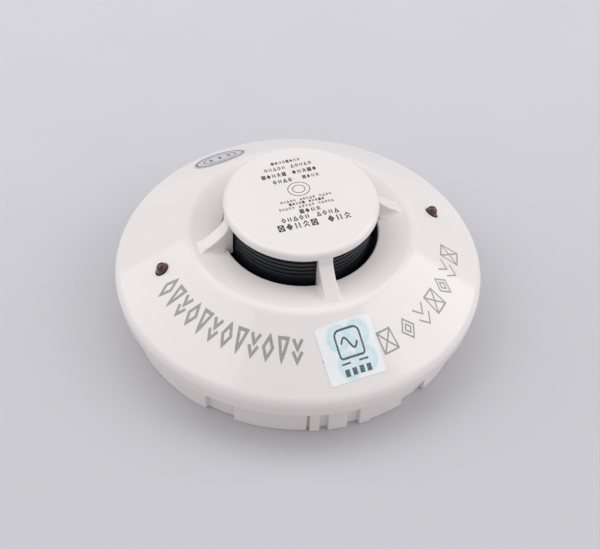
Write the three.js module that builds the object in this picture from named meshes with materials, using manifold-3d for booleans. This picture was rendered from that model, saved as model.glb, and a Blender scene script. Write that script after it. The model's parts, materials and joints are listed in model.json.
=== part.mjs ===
// Plug-in point smoke detector head, standing on its back with the cap up.
// Millimetres. +Z runs from the back of the head to its cap, Z = 0 is the plane it rests on.
// Azimuths are degrees about +Z from +X. The fins stand on the X and Y axes.

import * as THREE from 'three';
import { mergeVertices } from 'three/addons/utils/BufferGeometryUtils.js';
import Module from 'manifold-3d';

const wasm = await Module();
wasm.setup();

// ---------------------------------------------------------------- driving dimensions

const HEAD_RADIUS = 51; // widest radius, just above the skirt's lower edge
const HEAD_HEIGHT = 40; // rest plane to the top of the cap
const WALL = 2; // moulded wall thickness
const GAP = 0.3; // clearance between neighbouring pieces
const THROUGH = 1; // how far a cutter runs past the face it opens

const ROUND_BIG = 72; // facets round the large mouldings
const ROUND_MID = 36; // facets round the cap, screen and chamber
const ROUND_SMALL = 14; // facets round screws, rivets and lamps
const ARC_STEPS = 4; // facets along a rounded edge

// Cover: skirt, shoulder, cone, crest and a nearly level shelf round the opening.
const SKIRT_BOTTOM = 10.6;
const SKIRT_RADIUS = 50.6;
const SHOULDER_HEIGHT = 13.7;
const SHOULDER_ROUND = 3.8;
const CONE_SLOPE = THREE.MathUtils.degToRad(34.8);
const SHELF_HEIGHT = 29.45;
const SHELF_FALL = 0.5; // how much lower the shelf lies at the opening
const CREST_ROUND = 5;
const OPENING_RADIUS = 21.2;

// Cap on its four fins.
const CAP_RADIUS = 21;
const CAP_UNDERSIDE = 37.6;
const CAP_ROUND = 1.3;
const FIN_COUNT = 4;
const FIN_THICKNESS = 4;
const FIN_INNER_RADIUS = 19.7;
const FIN_TOP_RADIUS = 20.7;
const FIN_FOOT_RADIUS = 29;
const FIN_BEND = { radius: 21.65, height: 33.3 }; // pulls the ridge into its hollow curve

// Back housing: the plug-in ring, the floor, the shoulder that carries the cover.
const RING_RADIUS = 47.15;
const RING_WALL = 2.2;
const FLOOR_BOTTOM = 6;
const FLOOR_TOP = FLOOR_BOTTOM + WALL;
const SHOULDER_BOTTOM = 11;
const SHOULDER_TOP = 12.6;
const SHOULDER_RADIUS = 48.3;
const NOTCHES = [46, 114, 226, 294]; // azimuths of the twist-lock notches
const NOTCH_HALF_ANGLE = 5;
const NOTCH_FLOOR_RADIUS = 45.9;
const INDEX_POCKET = [255.3, 276.6]; // azimuth span of the pocket that holds the index blocks
const INDEX_POCKET_RADIUS = 46.2;
const INDEX_BLOCKS = [[256, 259.5], [262, 268.5], [272.5, 276.6]];
const INDEX_BLOCK_RADIUS = 47.6;

// Circuit board and what stands on it.
const BOARD_RADIUS = 42.5;
const BOARD_BOTTOM = 16.4;
const BOARD_TOP = 18;
const BOARD_SEAT = BOARD_TOP + GAP; // underside of everything that stands on the board
const SCREW_AZIMUTHS = [45, 165, 285];
const SCREW_CIRCLE = 36;
const CONTACT_AZIMUTHS = [0, 90, 180, 270];
const CONTACT_CIRCLE = 34;
const LED_CIRCLE = 39;
const LED_RADIUS = 1.5;
const LED_TOP = 26.2;

// Sensing chamber.
const SCREEN_RADIUS = 19.3;
const SCREEN_WALL = 0.8;
const SCREEN_BOTTOM = 20.2;
const SCREEN_TOP = CAP_UNDERSIDE - 0.4;
const CHAMBER_PLATE_TOP = BOARD_SEAT + 1.6;
const CHAMBER_RADIUS = 23.2;
const CHAMBER_RIM_TOP = 26.7;
const LID_RADIUS = SCREEN_RADIUS - SCREEN_WALL - GAP;
const LID_TOP = SCREEN_TOP - SCREEN_WALL - GAP;
const LID_THICKNESS = 1.5;
const VANE_COUNT = 14;
const OPTICAL_HEIGHT = 27; // height of the emitter's and the receiver's axes
const EMITTER_AZIMUTH = 30;
const RECEIVER_AZIMUTH = 165;
const CRADLE = { inner: 9, outer: 15.5, width: 8.4, top: 30.6, bore: 2.8 };

// Stickers on the cone and on the back.
const STICKER_THICKNESS = 0.25;
const SQUARE_STICKER = { x: 0.8, y: -40.35, width: 15.5, depth: 13, turn: 4.5 };
const OVAL_STICKER = { x: -11.5, y: 39.3, halfWidth: 7.5, halfDepth: 5.6 };

// ---------------------------------------------------------------- materials

const FINISHES = {
  whitePlastic: { color: 0xe8e6e3, roughness: 0.35, metalness: 0 },
  blackPlastic: { color: 0x14181b, roughness: 0.45, metalness: 0 },
  boardGreen: { color: 0x1e5b3a, roughness: 0.5, metalness: 0 },
  chipBlack: { color: 0x1a1a1c, roughness: 0.6, metalness: 0 },
  redLens: { color: 0x4a0d12, roughness: 0.1, metalness: 0 },
  clearLens: { color: 0xc8d4dc, roughness: 0.05, metalness: 0 },
  tinnedSteel: { color: 0xb9bcbe, roughness: 0.3, metalness: 1 },
  brass: { color: 0xb58b45, roughness: 0.35, metalness: 1 },
  ceramic: { color: 0x2c2a2a, roughness: 0.5, metalness: 0 },
  paper: { color: 0xf2f4f4, roughness: 0.5, metalness: 0 },
  foil: { color: 0xbfc2c8, roughness: 0.3, metalness: 0.8 },
};

function finish(name) {
  return new THREE.MeshStandardMaterial(FINISHES[name]);
}

// ---------------------------------------------------------------- solids and booleans

const rad = THREE.MathUtils.degToRad;

// Keeps positions only, joins equal corners and drops triangles that closed up on an axis.
function weld(geometry) {
  const bare = geometry.index ? geometry.toNonIndexed() : geometry.clone();
  bare.deleteAttribute('normal');
  bare.deleteAttribute('uv');
  const merged = mergeVertices(bare, 1e-4);
  const corners = merged.index.array;
  const kept = [];
  for (let i = 0; i < corners.length; i += 3) {
    const [a, b, c] = corners.slice(i, i + 3);
    if (a !== b && b !== c && c !== a) kept.push(a, b, c);
  }
  merged.setIndex(kept);
  return merged;
}

function signedVolume(geometry) {
  const at = (i) => new THREE.Vector3().fromBufferAttribute(geometry.attributes.position, i);
  const corners = geometry.index.array;
  let volume = 0;
  for (let i = 0; i < corners.length; i += 3) {
    volume += at(corners[i]).dot(at(corners[i + 1]).cross(at(corners[i + 2]))) / 6;
  }
  return volume;
}

// A closed three.js geometry as a solid, with its faces turned outwards.
function toSolid(geometry) {
  const welded = weld(geometry);
  const corners = Uint32Array.from(welded.index.array);
  if (signedVolume(welded) < 0) corners.reverse();
  const vertProperties = Float32Array.from(welded.attributes.position.array);
  return new wasm.Manifold(new wasm.Mesh({ numProp: 3, vertProperties, triVerts: corners }));
}

function toGeometry(solid) {
  const mesh = solid.getMesh();
  const geometry = new THREE.BufferGeometry();
  geometry.setAttribute('position', new THREE.BufferAttribute(mesh.vertProperties, 3));
  geometry.setIndex(new THREE.BufferAttribute(mesh.triVerts, 1));
  return geometry;
}

const join = (first, ...others) => others.reduce((sum, other) => sum.add(other), first);
const cut = (first, ...others) => others.reduce((rest, other) => rest.subtract(other), first);

// ---------------------------------------------------------------- shape helpers

const point = (radius, height) => new THREE.Vector2(radius, height);

// Points along an arc in the radius-height plane, angles in radians from the radius axis.
function arc(centreRadius, centreHeight, round, from, to, steps = ARC_STEPS) {
  const points = [];
  for (let i = 0; i <= steps; i += 1) {
    const angle = from + ((to - from) * i) / steps;
    points.push(point(centreRadius + round * Math.cos(angle), centreHeight + round * Math.sin(angle)));
  }
  return points;
}

// Turns a profile of (radius, height) points about +Z. The profile closes on itself.
function turned(profile, segments) {
  const geometry = new THREE.LatheGeometry([...profile, profile[0]], segments);
  return toSolid(geometry.rotateX(Math.PI / 2));
}

function disc(radius, low, high, segments = ROUND_SMALL) {
  return turned([point(0, low), point(radius, low), point(radius, high), point(0, high)], segments);
}

function tube(inner, outer, low, high, segments = ROUND_BIG) {
  return turned([point(inner, low), point(outer, low), point(outer, high), point(inner, high)], segments);
}

// A flat outline in X and Y, raised from one height to another.
function raised(shape, low, high, curveSegments = 8) {
  const settings = { depth: high - low, bevelEnabled: false, curveSegments };
  return toSolid(new THREE.ExtrudeGeometry(shape, settings).translate(0, 0, low));
}

// Part of a tube between two azimuths.
function sector(inner, outer, low, high, fromAzimuth, toAzimuth) {
  const shape = new THREE.Shape();
  shape.absarc(0, 0, outer, rad(fromAzimuth), rad(toAzimuth), false);
  shape.absarc(0, 0, inner, rad(toAzimuth), rad(fromAzimuth), true);
  const steps = Math.max(1, Math.ceil((toAzimuth - fromAzimuth) / (360 / ROUND_BIG)));
  return raised(shape, low, high, steps);
}

function block(x, y, low, high, width, depth) {
  const geometry = new THREE.BoxGeometry(width, depth, high - low);
  return toSolid(geometry.translate(x, y, (low + high) / 2));
}

const aside = (solid, x, y) => solid.translate([x, y, 0]);
const turnedTo = (solid, azimuth) => solid.rotate([0, 0, azimuth]);

// ---------------------------------------------------------------- cover profile

const CONE_FOOT = {
  radius: HEAD_RADIUS - SHOULDER_ROUND * (1 - Math.sin(CONE_SLOPE)),
  height: SHOULDER_HEIGHT + SHOULDER_ROUND * Math.cos(CONE_SLOPE),
};
const CONE_HEAD_HEIGHT = SHELF_HEIGHT - CREST_ROUND * (1 - Math.cos(CONE_SLOPE));
const CONE_HEAD_RADIUS = CONE_FOOT.radius - (CONE_HEAD_HEIGHT - CONE_FOOT.height) / Math.tan(CONE_SLOPE);
const CREST_RADIUS = CONE_HEAD_RADIUS - CREST_ROUND * Math.sin(CONE_SLOPE);

// The cover's outer line from the skirt to the opening, moved inwards by a wall or outwards.
function coverLine(inset) {
  const shoulderEnd = Math.PI / 2 - CONE_SLOPE;
  const skirtFoot = point(SKIRT_RADIUS - inset, SKIRT_BOTTOM);
  const shoulderCentre = HEAD_RADIUS - SHOULDER_ROUND;
  const shoulder = arc(shoulderCentre, SHOULDER_HEIGHT, SHOULDER_ROUND - inset, 0, shoulderEnd);
  const crestCentre = SHELF_HEIGHT - CREST_ROUND;
  const crest = arc(CREST_RADIUS, crestCentre, CREST_ROUND - inset, shoulderEnd, Math.PI / 2);
  const lip = point(OPENING_RADIUS, SHELF_HEIGHT - SHELF_FALL - inset);
  return [skirtFoot, ...shoulder, ...crest, lip];
}

// A thin conical skin that floats a clearance above the cone, from which stickers are cut.
function coneSkin() {
  const line = (offset) => [CONE_FOOT, { radius: CONE_HEAD_RADIUS, height: CONE_HEAD_HEIGHT }].map(
    (end) => point(end.radius + offset * Math.sin(CONE_SLOPE), end.height + offset * Math.cos(CONE_SLOPE)),
  );
  return turned([...line(GAP), ...line(GAP + STICKER_THICKNESS).reverse()], ROUND_BIG);
}

// ---------------------------------------------------------------- cover

function coverShell() {
  return turned([...coverLine(0), ...coverLine(WALL).reverse()], ROUND_BIG);
}

function cap() {
  const top = arc(CAP_RADIUS - CAP_ROUND, HEAD_HEIGHT - CAP_ROUND, CAP_ROUND, 0, Math.PI / 2);
  return turned([point(0, CAP_UNDERSIDE), point(CAP_RADIUS, CAP_UNDERSIDE), ...top, point(0, HEAD_HEIGHT)],
    ROUND_MID);
}

// One fin, drawn in the XZ plane. Its ridge falls in a hollow curve from the cap to the shelf.
function fin() {
  const rim = SHELF_HEIGHT - SHELF_FALL - WALL;
  const outline = new THREE.Shape();
  outline.moveTo(FIN_INNER_RADIUS, rim);
  outline.lineTo(FIN_FOOT_RADIUS - WALL, rim + 1);
  outline.lineTo(FIN_FOOT_RADIUS, SHELF_HEIGHT - 0.2);
  outline.quadraticCurveTo(FIN_BEND.radius, FIN_BEND.height, FIN_TOP_RADIUS, CAP_UNDERSIDE + 0.2);
  outline.lineTo(FIN_INNER_RADIUS, CAP_UNDERSIDE + 0.2);
  outline.closePath();
  const settings = { depth: FIN_THICKNESS, bevelEnabled: false, curveSegments: 7 };
  const geometry = new THREE.ExtrudeGeometry(outline, settings);
  geometry.rotateX(Math.PI / 2).translate(0, FIN_THICKNESS / 2, 0);
  return toSolid(geometry);
}

// Ribs inside the skirt that the housing's four hooks snap over.
const HOOK_AZIMUTHS = [0, 90, 180, 270];
const HOOK_HALF_ANGLE = 5;
const CATCH_RIB = { inner: 47.2, outer: 49.6, low: 12.9, high: 13.7 };

function catchRib(azimuth) {
  const { inner, outer, low, high } = CATCH_RIB;
  return sector(inner, outer, low, high, azimuth - HOOK_HALF_ANGLE, azimuth + HOOK_HALF_ANGLE);
}

function cover() {
  const fins = [];
  for (let i = 0; i < FIN_COUNT; i += 1) fins.push(turnedTo(fin(), (360 / FIN_COUNT) * i));
  const moulding = join(coverShell(), cap(), ...fins, ...HOOK_AZIMUTHS.map(catchRib));
  const lampHole = disc(LED_RADIUS + GAP, SKIRT_BOTTOM, SHELF_HEIGHT);
  return cut(moulding, aside(lampHole, LED_CIRCLE, 0), aside(lampHole, -LED_CIRCLE, 0));
}

function squareSticker() {
  const { x, y, width, depth, turn } = SQUARE_STICKER;
  const patch = turnedTo(block(0, 0, 0, HEAD_HEIGHT, width, depth), turn);
  return coneSkin().intersect(aside(patch, x, y));
}

function ovalSticker() {
  const { x, y, halfWidth, halfDepth } = OVAL_STICKER;
  const outline = new THREE.Shape();
  outline.absellipse(0, 0, halfWidth, halfDepth, 0, 2 * Math.PI, false, 0);
  return coneSkin().intersect(aside(raised(outline, 0, HEAD_HEIGHT, 16), x, y));
}

// ---------------------------------------------------------------- insect screen and chamber lid

// A cup with rows of slots where the smoke goes in, between the shelf and the cap.
function insectScreen() {
  const inner = SCREEN_RADIUS - SCREEN_WALL;
  const wall = tube(inner, SCREEN_RADIUS, SCREEN_BOTTOM, SCREEN_TOP, ROUND_MID);
  const top = disc(SCREEN_RADIUS - SCREEN_WALL / 2, SCREEN_TOP - SCREEN_WALL, SCREEN_TOP, ROUND_MID);
  const rows = [29.6, 31.4, 33.2];
  const columns = 12;
  const slotHeight = 1;
  const slotHalfAngle = 11;
  const slots = [];
  for (const row of rows) {
    for (let i = 0; i < columns; i += 1) {
      const middle = (360 / columns) * (i + 0.5);
      slots.push(sector(inner - THROUGH, SCREEN_RADIUS + THROUGH, row, row + slotHeight,
        middle - slotHalfAngle, middle + slotHalfAngle));
    }
  }
  return cut(join(wall, top), ...slots);
}

// One light-trap vane: a chevron in plan, hanging from the lid.
function vane(azimuth) {
  const chevron = new THREE.Shape([
    point(17.6, -2.4), point(15.2, 0.9), point(12.4, -1.6), point(12.4, -2.9), point(15.1, -0.4),
    point(16.9, -2.9),
  ]);
  return turnedTo(raised(chevron, SCREEN_BOTTOM + GAP, LID_TOP - LID_THICKNESS / 2), azimuth);
}

function chamberLid() {
  const plate = disc(LID_RADIUS, LID_TOP - LID_THICKNESS, LID_TOP, ROUND_MID);
  const clear = 24; // degrees kept free of vanes on each side of the emitter and the receiver
  const vanes = [];
  for (let i = 0; i < VANE_COUNT; i += 1) {
    const azimuth = (360 / VANE_COUNT) * i;
    const blocked = [EMITTER_AZIMUTH, RECEIVER_AZIMUTH].some(
      (other) => Math.abs(((azimuth - other + 540) % 360) - 180) < clear,
    );
    if (!blocked) vanes.push(vane(azimuth));
  }
  return join(plate, ...vanes);
}

// ---------------------------------------------------------------- chamber base and optics

// A horizontal cylinder along +X at the optical height.
function barrel(radius, from, to, segments = ROUND_SMALL) {
  const geometry = new THREE.CylinderGeometry(radius, radius, to - from, segments);
  geometry.rotateZ(Math.PI / 2).translate((from + to) / 2, 0, OPTICAL_HEIGHT);
  return toSolid(geometry);
}

const LEAD_RADIUS = 17; // where the optical devices' leads come down
const LEAD_PITCH = 2.54;

// A block that holds a device along +X, bored for its light path.
function cradle() {
  const { inner, outer, width, top, bore } = CRADLE;
  const middle = (inner + outer) / 2;
  const body = block(middle, 0, CHAMBER_PLATE_TOP - 0.1, top, outer - inner, width);
  return cut(body, barrel(bore, inner - THROUGH, outer + THROUGH));
}

function chamberBase() {
  const plate = disc(CHAMBER_RADIUS, BOARD_SEAT, CHAMBER_PLATE_TOP, ROUND_MID);
  const rim = tube(CHAMBER_RADIUS - 1.5, CHAMBER_RADIUS, BOARD_SEAT + 0.1, CHAMBER_RIM_TOP, ROUND_MID);
  const stop = turnedTo(block(6.2, 0, CHAMBER_PLATE_TOP - 0.1, CRADLE.top, 4.4, 1.2), 97.5);
  const cradles = [EMITTER_AZIMUTH, RECEIVER_AZIMUTH].map((azimuth) => turnedTo(cradle(), azimuth));
  const leadSlot = block(LEAD_RADIUS, 0, BOARD_SEAT - THROUGH, CHAMBER_PLATE_TOP + THROUGH, 1.4, 4);
  const slots = [EMITTER_AZIMUTH, RECEIVER_AZIMUTH].map((azimuth) => turnedTo(leadSlot, azimuth));
  return cut(join(plate, rim, stop, ...cradles), ...slots);
}

// Two wire leads from a device down to the board.
function leads(top) {
  return [-1, 1].map((side) => block(LEAD_RADIUS, (side * LEAD_PITCH) / 2, BOARD_SEAT, top, 0.5, 0.5));
}

function infraredEmitter() {
  const profile = [
    point(0, 9.6), ...arc(0, 12, 2.4, -Math.PI / 2, 0).slice(1), point(2.5, 16),
    point(2.9, 16), point(2.9, 17.3), point(0, 17.3),
  ];
  const body = turned(profile, ROUND_SMALL).rotate([0, 90, 0]).translate([0, 0, OPTICAL_HEIGHT]);
  return join(body, ...leads(OPTICAL_HEIGHT));
}

function photodiode() {
  const body = block(16.7, 0, OPTICAL_HEIGHT - 2.8, OPTICAL_HEIGHT + 2.8, 1.8, 5);
  return join(body, ...leads(OPTICAL_HEIGHT - 2));
}

function receiverLens() {
  const profile = [point(0, 10), ...arc(0, 13.4, 3.4, -Math.PI / 2, -0.75).slice(1), point(2.5, 12.6),
    point(0, 12.6)];
  return turned(profile, ROUND_SMALL).rotate([0, 90, 0]).translate([0, 0, OPTICAL_HEIGHT]);
}

// ---------------------------------------------------------------- circuit board

function screwHoles(radius, low, high) {
  const hole = disc(radius, low, high);
  return SCREW_AZIMUTHS.map((azimuth) => turnedTo(aside(hole, SCREW_CIRCLE, 0), azimuth));
}

const CONTACT_PIN_RADIUS = 0.6;

function contactPinHoles() {
  const hole = disc(CONTACT_PIN_RADIUS + GAP, BOARD_BOTTOM - THROUGH, BOARD_TOP + THROUGH);
  return CONTACT_AZIMUTHS.map((azimuth) => turnedTo(aside(hole, CONTACT_CIRCLE, 0), azimuth));
}

function circuitBoard() {
  const plate = disc(BOARD_RADIUS, BOARD_BOTTOM, BOARD_TOP, ROUND_BIG);
  const holes = [...screwHoles(1.7, BOARD_BOTTOM - THROUGH, BOARD_TOP + THROUGH), ...contactPinHoles()];
  return cut(plate, ...holes);
}

// A moulded package with gull-wing legs along its two long sides.
function chip(length, width, height, legsPerSide) {
  const body = block(0, 0, BOARD_SEAT + 0.2, BOARD_SEAT + height, length, width);
  const pitch = length / legsPerSide;
  const legs = [];
  for (let i = 0; i < legsPerSide; i += 1) {
    const x = (i - (legsPerSide - 1) / 2) * pitch;
    legs.push(block(x, 0, BOARD_SEAT, BOARD_SEAT + 0.5, pitch * 0.45, width + 2));
  }
  return join(body, ...legs);
}

function electrolyticCapacitor(radius, height) {
  const top = BOARD_SEAT + height;
  const neck = BOARD_SEAT + 1.4;
  return turned([point(0, BOARD_SEAT), point(radius, BOARD_SEAT), point(radius, neck - 0.4),
    point(radius - 0.4, neck), point(radius, neck + 0.4), point(radius, top - 0.4),
    point(radius - 0.4, top), point(0, top)], ROUND_SMALL);
}

function shieldCan() {
  const can = block(0, 0, BOARD_SEAT, BOARD_SEAT + 4, 13, 10);
  return cut(can, block(0, 0, BOARD_SEAT - THROUGH, BOARD_SEAT + 3.6, 12.2, 9.2));
}

// A glass reed capsule with its two leads bent down to the board.
function reedSwitch() {
  const height = BOARD_SEAT + 1.6;
  const glass = new THREE.CapsuleGeometry(1.1, 11, 4, 12);
  const wire = new THREE.BoxGeometry(18, 0.6, 0.6);
  const body = toSolid(glass.rotateZ(Math.PI / 2).translate(0, 0, height));
  const feet = [-1, 1].map((side) => block(side * 8.7, 0, BOARD_SEAT, height, 0.6, 0.6));
  return join(body, toSolid(wire.translate(0, 0, height)), ...feet);
}

function resistor() {
  return block(0, 0, BOARD_SEAT, BOARD_SEAT + 0.6, 3.2, 1.6);
}

function indicatorLed() {
  const foot = BOARD_SEAT + 1.6;
  const dome = arc(0, LED_TOP - LED_RADIUS, LED_RADIUS, 0, Math.PI / 2).slice(0, -1);
  return turned([point(0, foot), point(LED_RADIUS + 0.2, foot), point(LED_RADIUS + 0.2, foot + 0.7),
    point(LED_RADIUS, foot + 0.7), ...dome, point(0, LED_TOP)], ROUND_SMALL);
}

function ledSpacer() {
  return disc(1.7, BOARD_SEAT, BOARD_SEAT + 1.3);
}

// ---------------------------------------------------------------- back housing

const BOSS = { radius: 3, hole: 1.5, holeBottom: 10.5 };
const RIVET = { shank: 1.4, head: 3, headLow: 3.4, bladeLow: 4.9, bladeThickness: 0.8 };

function plugInRing() {
  const inner = RING_RADIUS - RING_WALL;
  const edge = 0.4; // small chamfer along the lower edge
  return turned([point(inner, 0), point(RING_RADIUS - edge, 0), point(RING_RADIUS, edge),
    point(RING_RADIUS, SHOULDER_TOP), point(inner, SHOULDER_TOP)], ROUND_BIG);
}

// The ring's wall steps inwards round each twist-lock notch.
function notchBacking(azimuth) {
  const half = NOTCH_HALF_ANGLE + 2.5;
  const inner = NOTCH_FLOOR_RADIUS - WALL;
  const outer = RING_RADIUS - RING_WALL / 2;
  return sector(inner, outer, 0, SHOULDER_BOTTOM + 0.5, azimuth - half, azimuth + half);
}

function notchOpening(azimuth) {
  return sector(NOTCH_FLOOR_RADIUS, RING_RADIUS + THROUGH, -THROUGH, SHOULDER_BOTTOM,
    azimuth - NOTCH_HALF_ANGLE, azimuth + NOTCH_HALF_ANGLE);
}

function indexPocketBacking() {
  const [from, to] = INDEX_POCKET;
  return sector(INDEX_POCKET_RADIUS - WALL, RING_RADIUS - RING_WALL / 2, 0, SHOULDER_BOTTOM + 0.5,
    from - 2.5, to + 2.5);
}

function indexPocket() {
  const [from, to] = INDEX_POCKET;
  return sector(INDEX_POCKET_RADIUS, RING_RADIUS + THROUGH, -THROUGH, SHOULDER_BOTTOM, from, to);
}

function indexBlocks() {
  return INDEX_BLOCKS.map(([from, to]) => sector(INDEX_POCKET_RADIUS - WALL / 2, INDEX_BLOCK_RADIUS, 0,
    SHOULDER_BOTTOM + 0.5, from, to));
}

// A springy hook that holds the cover. It stands just inside the cover's catch rib.
function hook(azimuth) {
  const stem = sector(45, 46, SHOULDER_TOP - 0.5, 16, azimuth - HOOK_HALF_ANGLE,
    azimuth + HOOK_HALF_ANGLE);
  const nib = sector(45.5, 46.8, 14.1, 15, azimuth - HOOK_HALF_ANGLE, azimuth + HOOK_HALF_ANGLE);
  return join(stem, nib);
}

function screwBosses() {
  const boss = disc(BOSS.radius, FLOOR_TOP - 0.5, BOARD_BOTTOM - GAP);
  return SCREW_AZIMUTHS.map((azimuth) => turnedTo(aside(boss, SCREW_CIRCLE, 0), azimuth));
}

function rivetHoles() {
  const hole = disc(RIVET.shank + GAP, FLOOR_BOTTOM - THROUGH, FLOOR_TOP + THROUGH);
  return CONTACT_AZIMUTHS.map((azimuth) => turnedTo(aside(hole, CONTACT_CIRCLE, 0), azimuth));
}

function backHousing() {
  const floor = disc(RING_RADIUS - RING_WALL / 2, FLOOR_BOTTOM, FLOOR_TOP, ROUND_BIG);
  const shoulder = tube(RING_RADIUS - RING_WALL, SHOULDER_RADIUS, SHOULDER_BOTTOM, SHOULDER_TOP);
  const boardLedge = tube(40.6, 42.4, FLOOR_TOP - 0.5, BOARD_BOTTOM - GAP);
  const walls = join(plugInRing(), floor, shoulder, boardLedge, ...NOTCHES.map(notchBacking),
    indexPocketBacking());
  const opened = cut(walls, ...NOTCHES.map(notchOpening), indexPocket(), ...rivetHoles());
  const built = join(opened, ...indexBlocks(), ...HOOK_AZIMUTHS.map(hook), ...screwBosses());
  return cut(built, ...screwHoles(BOSS.hole, BOSS.holeBottom, BOARD_BOTTOM));
}

// ---------------------------------------------------------------- contacts, screws and label

// A spring blade of the twist-lock contact. It runs along +Y from its rivet at X = CONTACT_CIRCLE.
function contactBlade() {
  const { bladeLow, bladeThickness } = RIVET;
  const width = 7;
  const line = [[-5, 0], [6, 0], [8.5, -1.9], [13.5, -1.9], [15.5, -1]];
  const lower = line.map(([along, rise]) => point(along, bladeLow + rise));
  const upper = line.map(([along, rise]) => point(along, bladeLow + bladeThickness + rise)).reverse();
  const settings = { depth: width, bevelEnabled: false };
  const strip = new THREE.ExtrudeGeometry(new THREE.Shape([...lower, ...upper]), settings);
  strip.rotateX(Math.PI / 2).rotateZ(Math.PI / 2).translate(CONTACT_CIRCLE - width / 2, 0, 0);
  const hole = aside(disc(RIVET.shank + GAP, 0, FLOOR_TOP), CONTACT_CIRCLE, 0);
  return cut(toSolid(strip), hole);
}

// The rivet clamps a blade under the floor and carries a pin up to the board.
function contactRivet() {
  const { shank, head, headLow, bladeLow } = RIVET;
  const collar = { radius: 2.6, low: FLOOR_TOP + GAP, high: FLOOR_TOP + 1.3 };
  return turned([point(0, headLow), point(head - 0.5, headLow), point(head, headLow + 0.5),
    point(head, bladeLow - GAP), point(shank, bladeLow - GAP), point(shank, collar.low),
    point(collar.radius, collar.low), point(collar.radius, collar.high),
    point(CONTACT_PIN_RADIUS, collar.high), point(CONTACT_PIN_RADIUS, BOARD_TOP + 0.8),
    point(0, BOARD_TOP + 0.8)], ROUND_SMALL);
}

function boardScrew() {
  const headLow = BOARD_TOP + GAP;
  const headHigh = headLow + 1.9;
  const body = turned([point(0, 11), point(0.6, 11), point(1.2, 12), point(1.2, headLow),
    point(2.8, headLow), point(2.8, headLow + 1), point(2, headHigh), point(0, headHigh)], ROUND_SMALL);
  const slotBottom = headHigh - 1;
  return cut(body, block(0, 0, slotBottom, headHigh + THROUGH, 3.2, 0.7),
    block(0, 0, slotBottom, headHigh + THROUGH, 0.7, 3.2));
}

function ratingLabel() {
  const top = FLOOR_BOTTOM - GAP;
  return disc(22, top - STICKER_THICKNESS, top, ROUND_MID);
}

// ---------------------------------------------------------------- the head

function piece(name, solid, finishName) {
  const mesh = new THREE.Mesh(toGeometry(solid), finish(finishName));
  mesh.name = name;
  return mesh;
}

// Stands a mesh at a place on the board given by azimuth and radius, with its length along the tangent.
function onBoard(mesh, azimuth, radius) {
  const seat = new THREE.Group();
  seat.rotation.z = rad(azimuth);
  mesh.position.x = radius;
  mesh.rotation.z = Math.PI / 2;
  seat.add(mesh);
  return seat;
}

// A mesh drawn on the +X axis, carried round to its azimuth.
function carried(mesh, azimuth) {
  mesh.rotation.z = rad(azimuth);
  return mesh;
}

function coverGroup() {
  const group = new THREE.Group();
  group.add(piece('cover', cover(), 'whitePlastic'));
  group.add(piece('square_sticker', squareSticker(), 'paper'));
  group.add(piece('oval_sticker', ovalSticker(), 'foil'));
  return group;
}

function chamberGroup() {
  const group = new THREE.Group();
  group.add(piece('insect_screen', insectScreen(), 'blackPlastic'));
  group.add(piece('chamber_lid', chamberLid(), 'blackPlastic'));
  group.add(piece('chamber_base', chamberBase(), 'blackPlastic'));
  group.add(carried(piece('infrared_emitter', infraredEmitter(), 'clearLens'), EMITTER_AZIMUTH));
  group.add(carried(piece('photodiode', photodiode(), 'chipBlack'), RECEIVER_AZIMUTH));
  group.add(carried(piece('receiver_lens', receiverLens(), 'clearLens'), RECEIVER_AZIMUTH));
  return group;
}

function boardGroup() {
  const group = new THREE.Group();
  group.add(piece('circuit_board', circuitBoard(), 'boardGreen'));
  [0, 180].forEach((azimuth, i) => {
    group.add(onBoard(piece(`indicator_led_${i + 1}`, indicatorLed(), 'redLens'), azimuth, LED_CIRCLE));
    group.add(onBoard(piece(`led_spacer_${i + 1}`, ledSpacer(), 'blackPlastic'), azimuth, LED_CIRCLE));
  });
  group.add(onBoard(piece('controller_chip', chip(10.3, 7.5, 2.3, 8), 'chipBlack'), 225, 33));
  group.add(onBoard(piece('amplifier_chip', chip(5, 4, 1.7, 4), 'chipBlack'), 252, 32));
  group.add(onBoard(piece('alarm_transistor', chip(6.5, 5.6, 2.3, 2), 'chipBlack'), 200, 31));
  group.add(onBoard(piece('bridge_rectifier', chip(6.4, 5, 2.5, 2), 'chipBlack'), 68, 30));
  group.add(onBoard(piece('surge_suppressor', chip(4.6, 3.6, 2.2, 1), 'chipBlack'), 20, 31));
  group.add(onBoard(piece('storage_capacitor', electrolyticCapacitor(3.15, 7.2), 'foil'), 124, 28.6));
  group.add(onBoard(piece('filter_capacitor', electrolyticCapacitor(2.5, 5.4), 'foil'), 142, 28.6));
  group.add(onBoard(piece('shield_can', shieldCan(), 'tinnedSteel'), 97, 31.5));
  group.add(onBoard(piece('reed_switch', reedSwitch(), 'clearLens'), 318, 34));
  [293, 301, 309, 341].forEach((azimuth, i) => {
    group.add(onBoard(piece(`resistor_${i + 1}`, resistor(), 'ceramic'), azimuth, 27.5));
  });
  return group;
}

function housingGroup() {
  const group = new THREE.Group();
  group.add(piece('back_housing', backHousing(), 'whitePlastic'));
  group.add(piece('rating_label', ratingLabel(), 'paper'));
  CONTACT_AZIMUTHS.forEach((azimuth, i) => {
    group.add(carried(piece(`contact_blade_${i + 1}`, contactBlade(), 'brass'), azimuth));
    group.add(onBoard(piece(`contact_rivet_${i + 1}`, contactRivet(), 'brass'), azimuth, CONTACT_CIRCLE));
  });
  SCREW_AZIMUTHS.forEach((azimuth, i) => {
    group.add(onBoard(piece(`board_screw_${i + 1}`, boardScrew(), 'tinnedSteel'), azimuth, SCREW_CIRCLE));
  });
  return group;
}

const head = new THREE.Group();
head.add(coverGroup(), chamberGroup(), boardGroup(), housingGroup());

export default head;
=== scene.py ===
"""Looks of a plug-in smoke detector head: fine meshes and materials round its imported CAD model.

Shapes are drawn in millimetres in the CAD model's frame: +Z runs from the back to the cap, and azimuths
are degrees about +Z from +X. build() turns them into metres.
"""

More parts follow.
